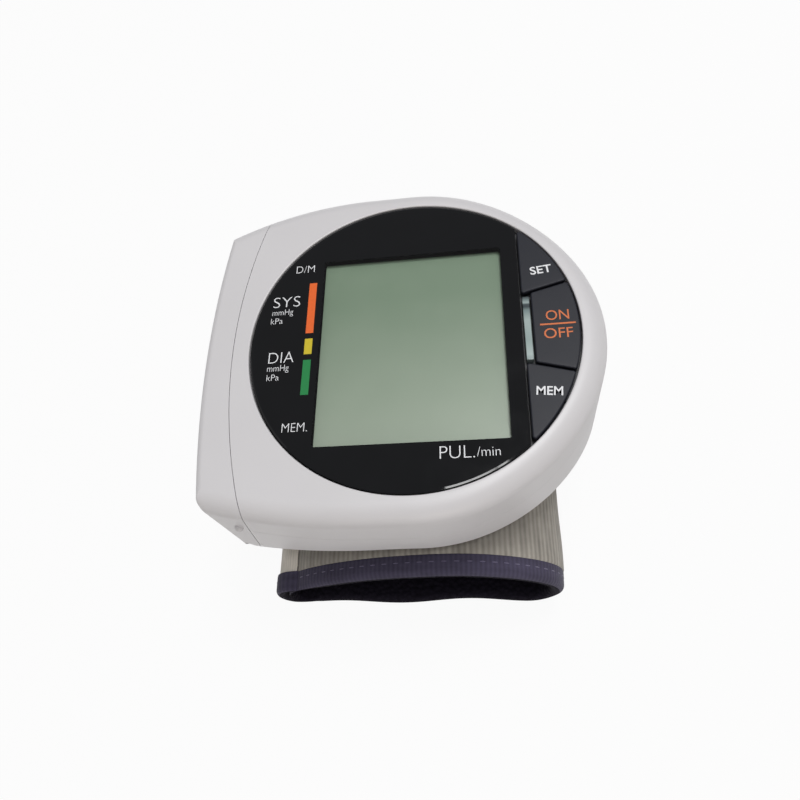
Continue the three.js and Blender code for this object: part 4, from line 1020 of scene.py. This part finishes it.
class MONITOR_OT_buttons(bpy.types.Operator):
    """Model the three button caps with their words, and the light strip"""
    bl_idname = "monitor.buttons"
    bl_label = "Buttons"

    def execute(self, context):
        sizes = context.scene.monitor_sizes
        low = POWER_HALF + CAP_GAP
        tip = math.sqrt(LENS_RADIUS ** 2 - CAP_CHORD ** 2) - CAP_TIP
        outer_turn, tip_turn = rim_turn(CAP_CHORD, low), math.atan2(tip, CAP_CHORD)
        power_turn = rim_turn(CAP_CHORD, POWER_HALF)
        power_edge = POWER_HALF + (POWER_LEFT - CAP_CHORD) * math.tan(CAP_SLOPE)
        for name, corners, y in (
            ("set_button", cap_outline(CAP_CHORD, tip, low, outer_turn, tip_turn), STEM_Y),
            ("power_button", cap_outline(POWER_LEFT, power_edge, -power_edge, -power_turn, power_turn), 0.0),
            ("memory_button", cap_outline(CAP_CHORD, -low, -tip, -tip_turn, -outer_turn), -STEM_Y),
        ):
            outline = rounded(corners, sizes.cap_corner / MM)
            cap = stack(name + "_cap", rounded_top(outline, CAP_BOTTOM, CAP_TOP, sizes.cap_round / MM))
            for half_x, half_y, top in ((STEM_HALF_X, STEM_HALF_Y, STEM_TOP),
                                        (STEM_CLIP_X, STEM_CLIP_Y, STEM_CLIP_TOP)):
                stem = block(STEM_X - half_x, STEM_X + half_x, y - half_y, y + half_y, STEM_FOOT, top)
                combine(cap, stem, "UNION")
            smooth(cap)
            dress(cap, name, "slate_button", finishes["button"])
            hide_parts(name)
        white, warm = finishes["white_ink"], finishes["power_ink"]
        printed_word("word_set", "SET", 23.9, 12.0, 1.65, "set_button", white, 6, 0.014, 1.05, CAP_TOP)
        printed_word("word_memory", "MEM", 23.5, -12.8, 1.6, "memory_button", white, -5, 0.014, 0.96, CAP_TOP)
        printed_word("word_on", "ON", 26.0, 2.0, 2.0, "power_button", warm, 0, 0.0, 0.92, CAP_TOP)
        printed_word("word_off", "OFF", 25.9, -1.7, 2.0, "power_button", warm, 0, 0.0, 1.0, CAP_TOP)
        printed_bar("word_line", 22.9, 29.0, 0.02, 0.34, "power_button", warm, CAP_TOP)
        strip = rounded([(GUIDE_LEFT, -GUIDE_HALF), (GUIDE_RIGHT, -GUIDE_HALF), (GUIDE_RIGHT, GUIDE_HALF),
                         (GUIDE_LEFT, GUIDE_HALF)], 0.15, 4)
        guide = stack("light_strip", rounded_top(strip, DECK_TOP + 0.15, LENS_TOP, 0.12))
        foot = block(GUIDE_LEFT + ROOM, GUIDE_RIGHT - ROOM, -GUIDE_FOOT, GUIDE_FOOT, *GUIDE_FOOT_ENDS)
        combine(guide, foot, "UNION")
        smooth(guide)
        dress(guide, "monitor", "clear_plastic", finishes["guide"])
        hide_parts("indicator_light_guide")
        return {"FINISHED"}


# Cuff


def quarter(start, along_x, stop, share=0.56):
    """Control points of a rounded turn of the cuff, as X and height above the table."""
    (x0, h0), (x1, h1) = start, stop
    dx, dh = (x1 - x0) * share, (h1 - h0) * share
    if along_x:
        return start, (x0 + dx, h0), (x1, h1 - dh), stop
    return start, (x0, h0 + dh), (x1 - dx, h1), stop


# Curves of the cuff's outline, then stretches of them: curve, start, stop and steps
FLAT_LEFT, FLAT_RIGHT = (-23.5, 0.0), (18.0, 0.0)
RIGHT_FOLD, CREST, LEFT_FOLD = (26.1, 9.5), (3.0, 27.0), (-30.6, 8.2)
BOTTOM = (FLAT_LEFT, (-9.7, 0.0), (4.2, 0.0), FLAT_RIGHT)
RIGHT_TURN = quarter(FLAT_RIGHT, True, RIGHT_FOLD)
RIGHT_TOP = quarter(RIGHT_FOLD, False, CREST)
LEFT_TOP = quarter(CREST, True, LEFT_FOLD, 0.48)
LEFT_TURN = quarter(LEFT_FOLD, False, FLAT_LEFT)
ROUND = ((BOTTOM, 0, 1, 44), (RIGHT_TURN, 0, 1, 20), (RIGHT_TOP, 0, 1, 40), (LEFT_TOP, 0, 1, 50),
         (LEFT_TURN, 0, 0.28, 8))
RING = ((LEFT_TURN, 0.85, 1, 4), *ROUND)
LINED = ((LEFT_TURN, 0.54, 1, 12), *ROUND)
UPPER = ((RIGHT_TOP, 0.1, 1, 36), (LEFT_TOP, 0, 1, 44))
FLAP = ((LEFT_TURN, 0.85, 0, 40), (LEFT_TOP, 1, 0.725, 24))
HOOKS = ((LEFT_TOP, 1, 0.83, 20),)


def bezier(points, t):
    weights = ((1 - t) ** 3, 3 * t * (1 - t) ** 2, 3 * t * t * (1 - t), t ** 3)
    return Vector([sum(w * p[i] for w, p in zip(weights, points)) for i in (0, 1)])


def trace(stretches, outward=1):
    """Points along stretches of the cuff outline, each with its outward direction, the length so far and the
    direction along."""
    points, way = [], 0.0
    for n, (curve, start, stop, steps) in enumerate(stretches):
        for i in range(0 if n == 0 else 1, steps + 1):
            t = start + (stop - start) * i / steps
            here = bezier(curve, t)
            ahead = bezier(curve, t + 1e-4) - bezier(curve, t - 1e-4)
            ahead = ahead.normalized() * (1 if stop > start else -1)
            if points:
                way += (here - points[-1][0]).length
            points.append((here, Vector((ahead.y, -ahead.x)) * outward, way, ahead))
    return points


def clamped(value):
    return min(max(value, 0.0), 1.0)


def sway(way, y):
    """Gentle unevenness of worn cloth, from 0 to 1."""
    waves = math.sin(way * 0.31 + y * 0.07) + math.sin(way * 0.17 - y * 0.21 + 1.3)
    return (waves + math.sin(y * 0.34 + way * 0.05)) / 6 + 0.5


def ease(way):
    """From 0 where the flap leaves the ring to 1 where it lies loose over it."""
    share = clamped((way - LOOSE[0]) / (LOOSE[1] - LOOSE[0]))
    return share * share * (3 - 2 * share)


def cloth_point(here, out, depth, y):
    """A point of the cuff, in the frame's metres. Near the table the cuff's edges wave in and out."""
    inner = here - out * depth
    low = clamped((WAVE_TOP - here.y) / WAVE_FADE) * (abs(y) / CUFF_HALF) ** 4
    swing = 0.5 + 0.5 * math.cos((here.x - WAVE_X) * WAVE_RATE)
    wave = bpy.context.scene.monitor_sizes.edge_wave / MM * low * swing
    return Vector(((inner.x + MIDDLE) * MM, (y - math.copysign(wave, y)) * MM, inner.y * MM))


def carry(name, path, section, wave, root=None, taper=0.0, heading=1, sink=THIN_DEPTH, thin=0.0):
    """Carries a closed section, of depth under the outline and Y, along a stretch of the cuff. With a root it
    starts as that section. It thins towards a depth, given by sink, over the millimetres given by taper, and
    stays thin for those given by thin. Also gives its length and the way round its section, in metres."""
    outlines = []
    for here, out, way, _ in path:
        left = max(path[-1][2] - thin - way, 0.0)
        rest = min(left / taper, 1.0) if taper else 1.0
        full = THINNEST + (1 - THINNEST) * rest * (2 - rest)
        loose = ease(way) if root else 1.0
        calm = 1 - loose if root else min(left / CALM, 1.0)
        points = []
        for i, (d, y) in enumerate(section):
            d = d * full + sink * (1 - full)
            if root:
                d = root[i][0] + (d - root[i][0]) * loose
            points.append(cloth_point(here, out, d + wave * calm * sway(heading * way, y), y))
        outlines.append(points)
    across = [0.0]
    for (d0, y0), (d1, y1) in zip(section, section[1:] + section[:1]):
        across.append(across[-1] + math.hypot(d1 - d0, y1 - y0) * MM)
    piece = stack(name, outlines, [heading * place[2] * MM for place in path], across)
    return piece, path[-1][2] * MM, across


def tape_section(side, outer, inner, wall):
    """A tape folded over an edge of the cuff, as a U with a round outer fold."""
    middle, half = (outer + inner) / 2, (inner - outer) / 2
    fold = CUFF_HALF - half
    outside = [(outer + wall * 0.6, TAPE_OUTER), (outer + wall * 0.15, TAPE_OUTER + 0.08)]
    outside += [(outer, y) for y in spread(TAPE_OUTER + 0.3, fold, 9)]
    outside += [(middle - half * math.cos(a), fold + half * math.sin(a)) for a in spread(0.3, math.pi - 0.3, 8)]
    outside += [(inner, y) for y in spread(fold, TAPE_INNER, 10)]
    slot = half - wall
    inside = [(inner - wall, TAPE_INNER), (inner - wall, fold)]
    inside += [(middle + slot * math.cos(a), fold + slot * math.sin(a)) for a in spread(0.5, math.pi - 0.5, 4)]
    inside += [(outer + wall, fold), (outer + wall, TAPE_OUTER)]
    return [(d, side * y) for d, y in outside + inside]


def fabric_section(outer, edge, inner):
    """Woven fabric whose two edges dip under the tapes."""
    side = [(edge, FABRIC_HALF), (edge, 35.2), (outer + (edge - outer) * 0.35, 34.5)]
    points = [(d, -y) for d, y in side] + [(outer, y) for y in spread(-FABRIC_FLAT, FABRIC_FLAT, 44)] + side[::-1]
    return points + [(inner, y) for y in spread(FABRIC_HALF, -FABRIC_HALF, 44)]


def flat_section(outer, inner, half, steps):
    points = [(outer, y) for y in spread(-half, half, steps)]
    return points + [(inner, y) for y in spread(half, -half, steps)]


def dress_cloth(piece, inside, body, slot, finish):
    """Dresses a carried piece whose inner points, told by the first and last, take the dark lining's material. On
    a tape these run from the fold's tip over its inner face, so the dark there is painted shade under the cuff's
    edges as well as lining. Its two ends don't."""
    smooth(piece, CLOTH_ANGLE)
    station = piece.data.attributes["station"].data
    for face in piece.data.polygons:
        places = [station[v].value for v in face.vertices]
        inner = min(places) >= inside[0] and max(places) <= inside[1]
        face.material_index = int(inner and not closes_end(piece, face))
    dress(piece, body, slot, finishes[finish], finishes["lining"])


def sew(name, path, depth, y, body, heading=1):
    """A row of stitches along a tape: one modelled, and copied along the path."""
    sizes = bpy.context.scene.monitor_sizes
    bpy.ops.object.select_all(action="DESELECT")
    bpy.ops.mesh.primitive_uv_sphere_add(segments=8, ring_count=6, radius=1.0)
    first = bpy.context.object
    thread = sizes.stitch_thread / 2
    first.data.transform(Matrix.Diagonal((sizes.stitch_length / 2, thread, thread, 1.0)))
    bpy.ops.object.shade_smooth()
    copies = []
    due = sizes.stitch_pitch / 2
    last = (path[-1][2] - (THIN if heading > 0 else TIP)) * MM
    for a, b in zip(path, path[1:]):
        while a[2] * MM <= due < min(b[2] * MM, last):
            way = due / MM
            share = (way - a[2]) / (b[2] - a[2])
            here, out = a[0].lerp(b[0], share), a[1].lerp(b[1], share).normalized()
            ahead = a[3].lerp(b[3], share).normalized()
            lift, calm = depth, clamped((path[-1][2] - THIN - way) / CALM)
            if heading < 0:
                lift, calm = STITCH_DEPTH + (depth - STITCH_DEPTH) * ease(way), 1 - ease(way)
            sunk = sizes.cloth_wave / MM * calm * sway(heading * way, y)
            centre = cloth_point(here, out, lift + sunk, y)
            turn = Matrix(((ahead.x, 0, out.x, centre.x), (0, 1, 0, centre.y),
                           (ahead.y, 0, out.y, centre.z), (0, 0, 0, 1)))
            copy = first.copy()
            copy.data = first.data.copy()
            copy.data.transform(turn)
            bpy.context.collection.objects.link(copy)
            copies.append(copy)
            due += sizes.stitch_pitch
    only(first)
    bpy.ops.object.delete()
    only(copies[0])
    for copy in copies:
        copy.select_set(True)
    bpy.ops.object.join()
    row = bpy.context.object
    row.name = row.data.name = name
    only(row)
    bpy.ops.object.mode_set(mode="EDIT")
    bpy.ops.mesh.select_all(action="SELECT")
    bpy.ops.mesh.normals_make_consistent(inside=False)
    bpy.ops.object.mode_set(mode="OBJECT")
    dress(row, body, "binding_tape", finishes["thread"])
    return row


class MONITOR_OT_cuff(bpy.types.Operator):
    """Model the cuff: fabric, lining, bladder, bindings and their stitches"""
    bl_idname = "monitor.cuff"
    bl_label = "Cuff"

    def execute(self, context):
        wave = context.scene.monitor_sizes.cloth_wave / MM
        ring = trace(RING)
        fabric, long, _ = carry("cuff_fabric_cloth", ring, fabric_section(*FABRIC), wave, taper=TAPER, thin=THIN)
        dress_cloth(fabric, FABRIC_INSIDE, "monitor", "woven_fabric", "fabric")
        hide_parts("cuff_fabric")
        rows = spread(-LINING_HALF, LINING_HALF, 44)
        bulge = [(LINING_EDGE + LINING_BULGE * math.sqrt(max(1 - (y / LINING_HALF) ** 8, 0.0)), y) for y in rows]
        back = [(d - LINING_THICK, y) for d, y in reversed(bulge)]
        lining, long, _ = carry("cuff_lining_cloth", trace(LINED), bulge + back, wave * LINING_WAVE)
        smooth(lining, CLOTH_ANGLE)
        dress(lining, "monitor", "dark_lining", finishes["lining"])
        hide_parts("cuff_lining")
        pillow = flat_section(*BLADDER, BLADDER_HALF, 24)
        bladder, _, _ = carry("cuff_bladder_bag", trace(UPPER), pillow, 0.0)
        combine(bladder, post(AIR_X, AIR_Y, *NIPPLE), "UNION")
        combine(bladder, post(AIR_X, AIR_Y, *NIPPLE_BORE))
        smooth(bladder, CLOTH_ANGLE)
        dress(bladder, "monitor", "bladder_sheet", finishes["bladder"])
        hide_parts("cuff_bladder")
        for name, side in (("front", -1), ("rear", 1)):
            section = tape_section(side, *TAPE)
            tape, long, wide = carry("cuff_tape_" + name, ring, section, wave, taper=TAPER, thin=THIN)
            dress_cloth(tape, TAPE_SHADED_INSIDE, "monitor", "binding_tape", "binding")
            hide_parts("cuff_binding_" + name)
            row = sew("cuff_stitches_" + name, ring, STITCH_DEPTH, side * STITCH_Y, "monitor")
        return {"FINISHED"}


class MONITOR_OT_strap_flap(bpy.types.Operator):
    """Model the strap's flap, which goes on from the ring: fabric, hook tape, bindings and their stitches"""
    bl_idname = "monitor.strap_flap"
    bl_label = "Strap Flap"

    def execute(self, context):
        wave = context.scene.monitor_sizes.cloth_wave / MM
        path = trace(FLAP, -1)
        root, section = fabric_section(*FABRIC), fabric_section(*FLAP_FABRIC)
        fabric, long, _ = carry("flap_fabric_cloth", path[:-1], section, wave, root, TIP, -1)
        dress_cloth(fabric, FABRIC_INSIDE, None, "woven_fabric", "flap")
        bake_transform(fabric)
        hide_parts("flap_fabric")
        pad = flat_section(*HOOK_TAPE, HOOKS_HALF, 30)
        hooks, _, _ = carry("flap_hook_strip", trace(HOOKS, -1), pad, 0.0)
        smooth(hooks, CLOTH_ANGLE)
        dress(hooks, "strap_flap", "dark_lining", finishes["hooks"])
        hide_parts("flap_hook_tape")
        for name, side in (("front", -1), ("rear", 1)):
            root, section = tape_section(side, *TAPE), tape_section(side, *FLAP_TAPE)
            tape, long, wide = carry("flap_tape_" + name, path, section, wave, root, TIP, -1, FLAP_TAPE_THIN_DEPTH)
            dress_cloth(tape, TAPE_SHADED_INSIDE, None, "binding_tape", "binding")
            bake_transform(tape)
            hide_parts("flap_binding_" + name)
            row = sew("flap_stitches_" + name, path, FLAP_STITCH_DEPTH, side * STITCH_Y, None, -1)
            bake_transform(row)
        return {"FINISHED"}


# Inner parts


NODE_FINISHES = {
    "display": ("lcd_panel",),
    "holder": ("lcd_holder",),
    "elastomer": ("zebra_strip_upper", "zebra_strip_lower"),
    "board": ("main_board",),
    "clear": ("indicator_led",),
    "black": ("set_switch", "power_switch", "memory_switch", "buzzer", "pressure_sensor", "pump_head",
              "release_valve", "air_manifold", "cuff_plate"),
    "tube": ("pump_tube", "valve_tube", "sensor_tube"),
    "stiffener": ("cuff_stiffener",),
    "steel": ("pump_motor", "contact_link", "contact_positive", "contact_negative", "contact_spring_upper",
              "contact_spring_lower", *CASE_SCREWS, "board_screw_1", "board_screw_2", "board_screw_3",
              *PLATE_SCREWS),
}
CELL_HALF = 22.25
# Radius and place along a cell, from its flat end to its nub
CELL_PROFILE = ((0.5, -CELL_HALF), (4.75, -CELL_HALF), (4.95, -22.05), (5.25, -21.75), (5.25, 21.7), (5.0, 22.1),
                (4.6, CELL_HALF), (2.1, CELL_HALF), (1.9, 22.4), (1.9, 22.95), (1.6, 23.15), (0.4, 23.15))


class MONITOR_OT_inner_parts(bpy.types.Operator):
    """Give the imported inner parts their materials, and model the two cells"""
    bl_idname = "monitor.inner_parts"
    bl_label = "Inner Parts"

    def execute(self, context):
        for finish, names in NODE_FINISHES.items():
            for name in names:
                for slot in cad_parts[name].material_slots:
                    slot.material = finishes[finish]
        for name in ("cell_upper", "cell_lower"):
            low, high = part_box(name)
            x, z = (low.x + high.x) / 2, (low.z + high.z) / 2
            way = MM if high.y > -low.y else -MM
            outlines = []
            for radius, y in CELL_PROFILE:
                ring = arc(0, 0, radius, 0, 2 * math.pi, 48)
                outlines.append([Vector((x + a * MM, y * way, z + b * MM)) for a, b in ring])
            cell = stack(name + "_can", outlines)
            smooth(cell)
            dress(cell, "monitor", "cell_jacket", finishes["cell"])
            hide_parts(name)
        return {"FINISHED"}


# Stage


WHITE = (1.0, 1.0, 1.0)
# Name, place, size, power and tone of each lamp, in metres and watts. The sparks draw the thin light along the
# edge of the lens.
LAMPS = (
    ("lamp_over", (0.16, 0.2, 0.88), 0.25, 4.1, WHITE),
    ("lamp_left", (-0.8, 0.15, 0.55), 0.6, 0.25, WHITE),
    ("lamp_right", (0.75, 0.15, 0.5), 0.6, 0.35, WHITE),
    ("lamp_front", (0.1, -0.75, 0.22), 0.4, 1.3, (1.0, 0.92, 0.84)),
    ("lamp_spark_1", (0.083, -0.204, 0.88), 0.1, 0.35, WHITE),
    ("lamp_spark_2", (0.16, -0.14, 0.88), 0.1, 0.35, WHITE),
    ("lamp_spark_3", (0.237, -0.076, 0.88), 0.1, 0.35, WHITE),
)
AIM = Vector((0, 0, 0.03))
# The photo's camera: its axes to the right, up and back, and its place
CAMERA_AXES = ((0.98823, 0.01403, -0.15236), (0.05630, 0.89260, 0.44733), (0.14226, -0.45063, 0.88130))
CAMERA_PLACE = (15.1, -65.9, 103.6)
FLOOR_WHITE = 0.94
WORLD_LIGHT = 0.24


def floor_paper(name, colour_value):
    """White paper sweep: seen directly, through clear plastic or in a mirror it is nearly plain white, with a
    trace of shadow. It lights the rest as plain paper."""
    material, place, _ = blank(name)
    fibres = noise(material, place, 3 * MM, 3.0)
    surfaced(material, {
        "Base Color": mottled(material, fibres, colour_value, 0.99, 1.0), "Roughness": 1.0,
        "Specular IOR Level": 0.0})
    ray = add(material, "LightPath", {}, {}).outputs
    seen = calc(material, "MAXIMUM", ray["Is Camera Ray"], ray["Is Glossy Ray"])
    seen = calc(material, "MAXIMUM", seen, ray["Is Transmission Ray"])
    white = add(material, "Emission", {}, {"Strength": 1.0})
    share = calc(material, "MULTIPLY", seen, FLOOR_WHITE)
    return layered(material, share, material.node_tree.nodes["Principled BSDF"], white)


class MONITOR_OT_stage(bpy.types.Operator):
    """Set up the floor, the soft lamps and the camera"""
    bl_idname = "monitor.stage"
    bl_label = "Stage"

    def execute(self, context):
        scene = context.scene
        bpy.ops.object.select_all(action="DESELECT")
        bpy.ops.mesh.primitive_plane_add(size=scene.monitor_sizes.floor_size, location=(0, 0, -0.0002))
        floor = context.object
        floor.name = "floor"
        floor.data.transform(floor.matrix_world)
        floor.matrix_world = Matrix.Identity(4)
        floor.data.materials.append(floor_paper("paper_white", scene.monitor_colours.floor))
        for name, place, size, power, tone in LAMPS:
            bpy.ops.object.light_add(type="AREA", location=place)
            lamp = context.object
            lamp.name = name
            lamp.data.size = size
            lamp.data.energy = power
            lamp.data.color = tone
            lamp.rotation_euler = (AIM - Vector(place)).to_track_quat("-Z", "Y").to_euler()
        world = bpy.data.worlds.new("studio")
        scene.world = world
        world.use_nodes = True
        ray = add(world, "LightPath", {}, {})
        strength = ranged(world, ray.outputs["Is Camera Ray"], WORLD_LIGHT, 1.0)
        plug(world, world.node_tree.nodes["Background"], {"Color": (*WHITE, 1.0), "Strength": strength})
        bpy.ops.object.camera_add()
        camera = context.object
        camera.name = "camera"
        turn = Matrix(CAMERA_AXES).transposed().to_4x4()
        camera.matrix_world = Matrix.Translation(spot(*CAMERA_PLACE)) @ turn
        camera.data.sensor_width = 36.0
        camera.data.lens = 30.96
        camera.data.clip_start = 0.005
        scene.camera = camera
        scene.view_settings.view_transform = "Standard"
        return {"FINISHED"}


class MONITOR_PT_panel(bpy.types.Panel):
    """Sizes, colours and steps of the wrist monitor"""
    bl_idname = "MONITOR_PT_panel"
    bl_label = "Wrist Monitor"
    bl_space_type = "VIEW_3D"
    bl_region_type = "UI"
    bl_category = "Monitor"

    def draw(self, context):
        for group in (context.scene.monitor_sizes, context.scene.monitor_colours):
            column = self.layout.column(align=True)
            for name in group.bl_rna.properties.keys():
                if name not in {"rna_type", "name"}:
                    column.prop(group, name)
        for step in STEPS:
            self.layout.operator(step.bl_idname)


STEPS = (MONITOR_OT_covers, MONITOR_OT_battery_cover, MONITOR_OT_lens, MONITOR_OT_buttons, MONITOR_OT_cuff,
         MONITOR_OT_strap_flap, MONITOR_OT_inner_parts, MONITOR_OT_stage)
CLASSES = (MonitorSizes, MonitorColours, *STEPS, MONITOR_PT_panel)


def register():
    for cls in CLASSES:
        bpy.utils.register_class(cls)
    bpy.types.Scene.monitor_sizes = PointerProperty(type=MonitorSizes)
    bpy.types.Scene.monitor_colours = PointerProperty(type=MonitorColours)


def unregister():
    del bpy.types.Scene.monitor_sizes
    del bpy.types.Scene.monitor_colours
    for cls in reversed(CLASSES):
        bpy.utils.unregister_class(cls)


def main():
    register()
    scene = bpy.context.scene
    make_finishes(scene.monitor_colours, scene.monitor_sizes)
    bpy.ops.monitor.covers()
    bpy.ops.monitor.battery_cover()
    bpy.ops.monitor.lens()
    bpy.ops.monitor.buttons()
    bpy.ops.monitor.cuff()
    bpy.ops.monitor.strap_flap()
    bpy.ops.monitor.inner_parts()
    bpy.ops.monitor.stage()


if __name__ == "__main__":
    main()
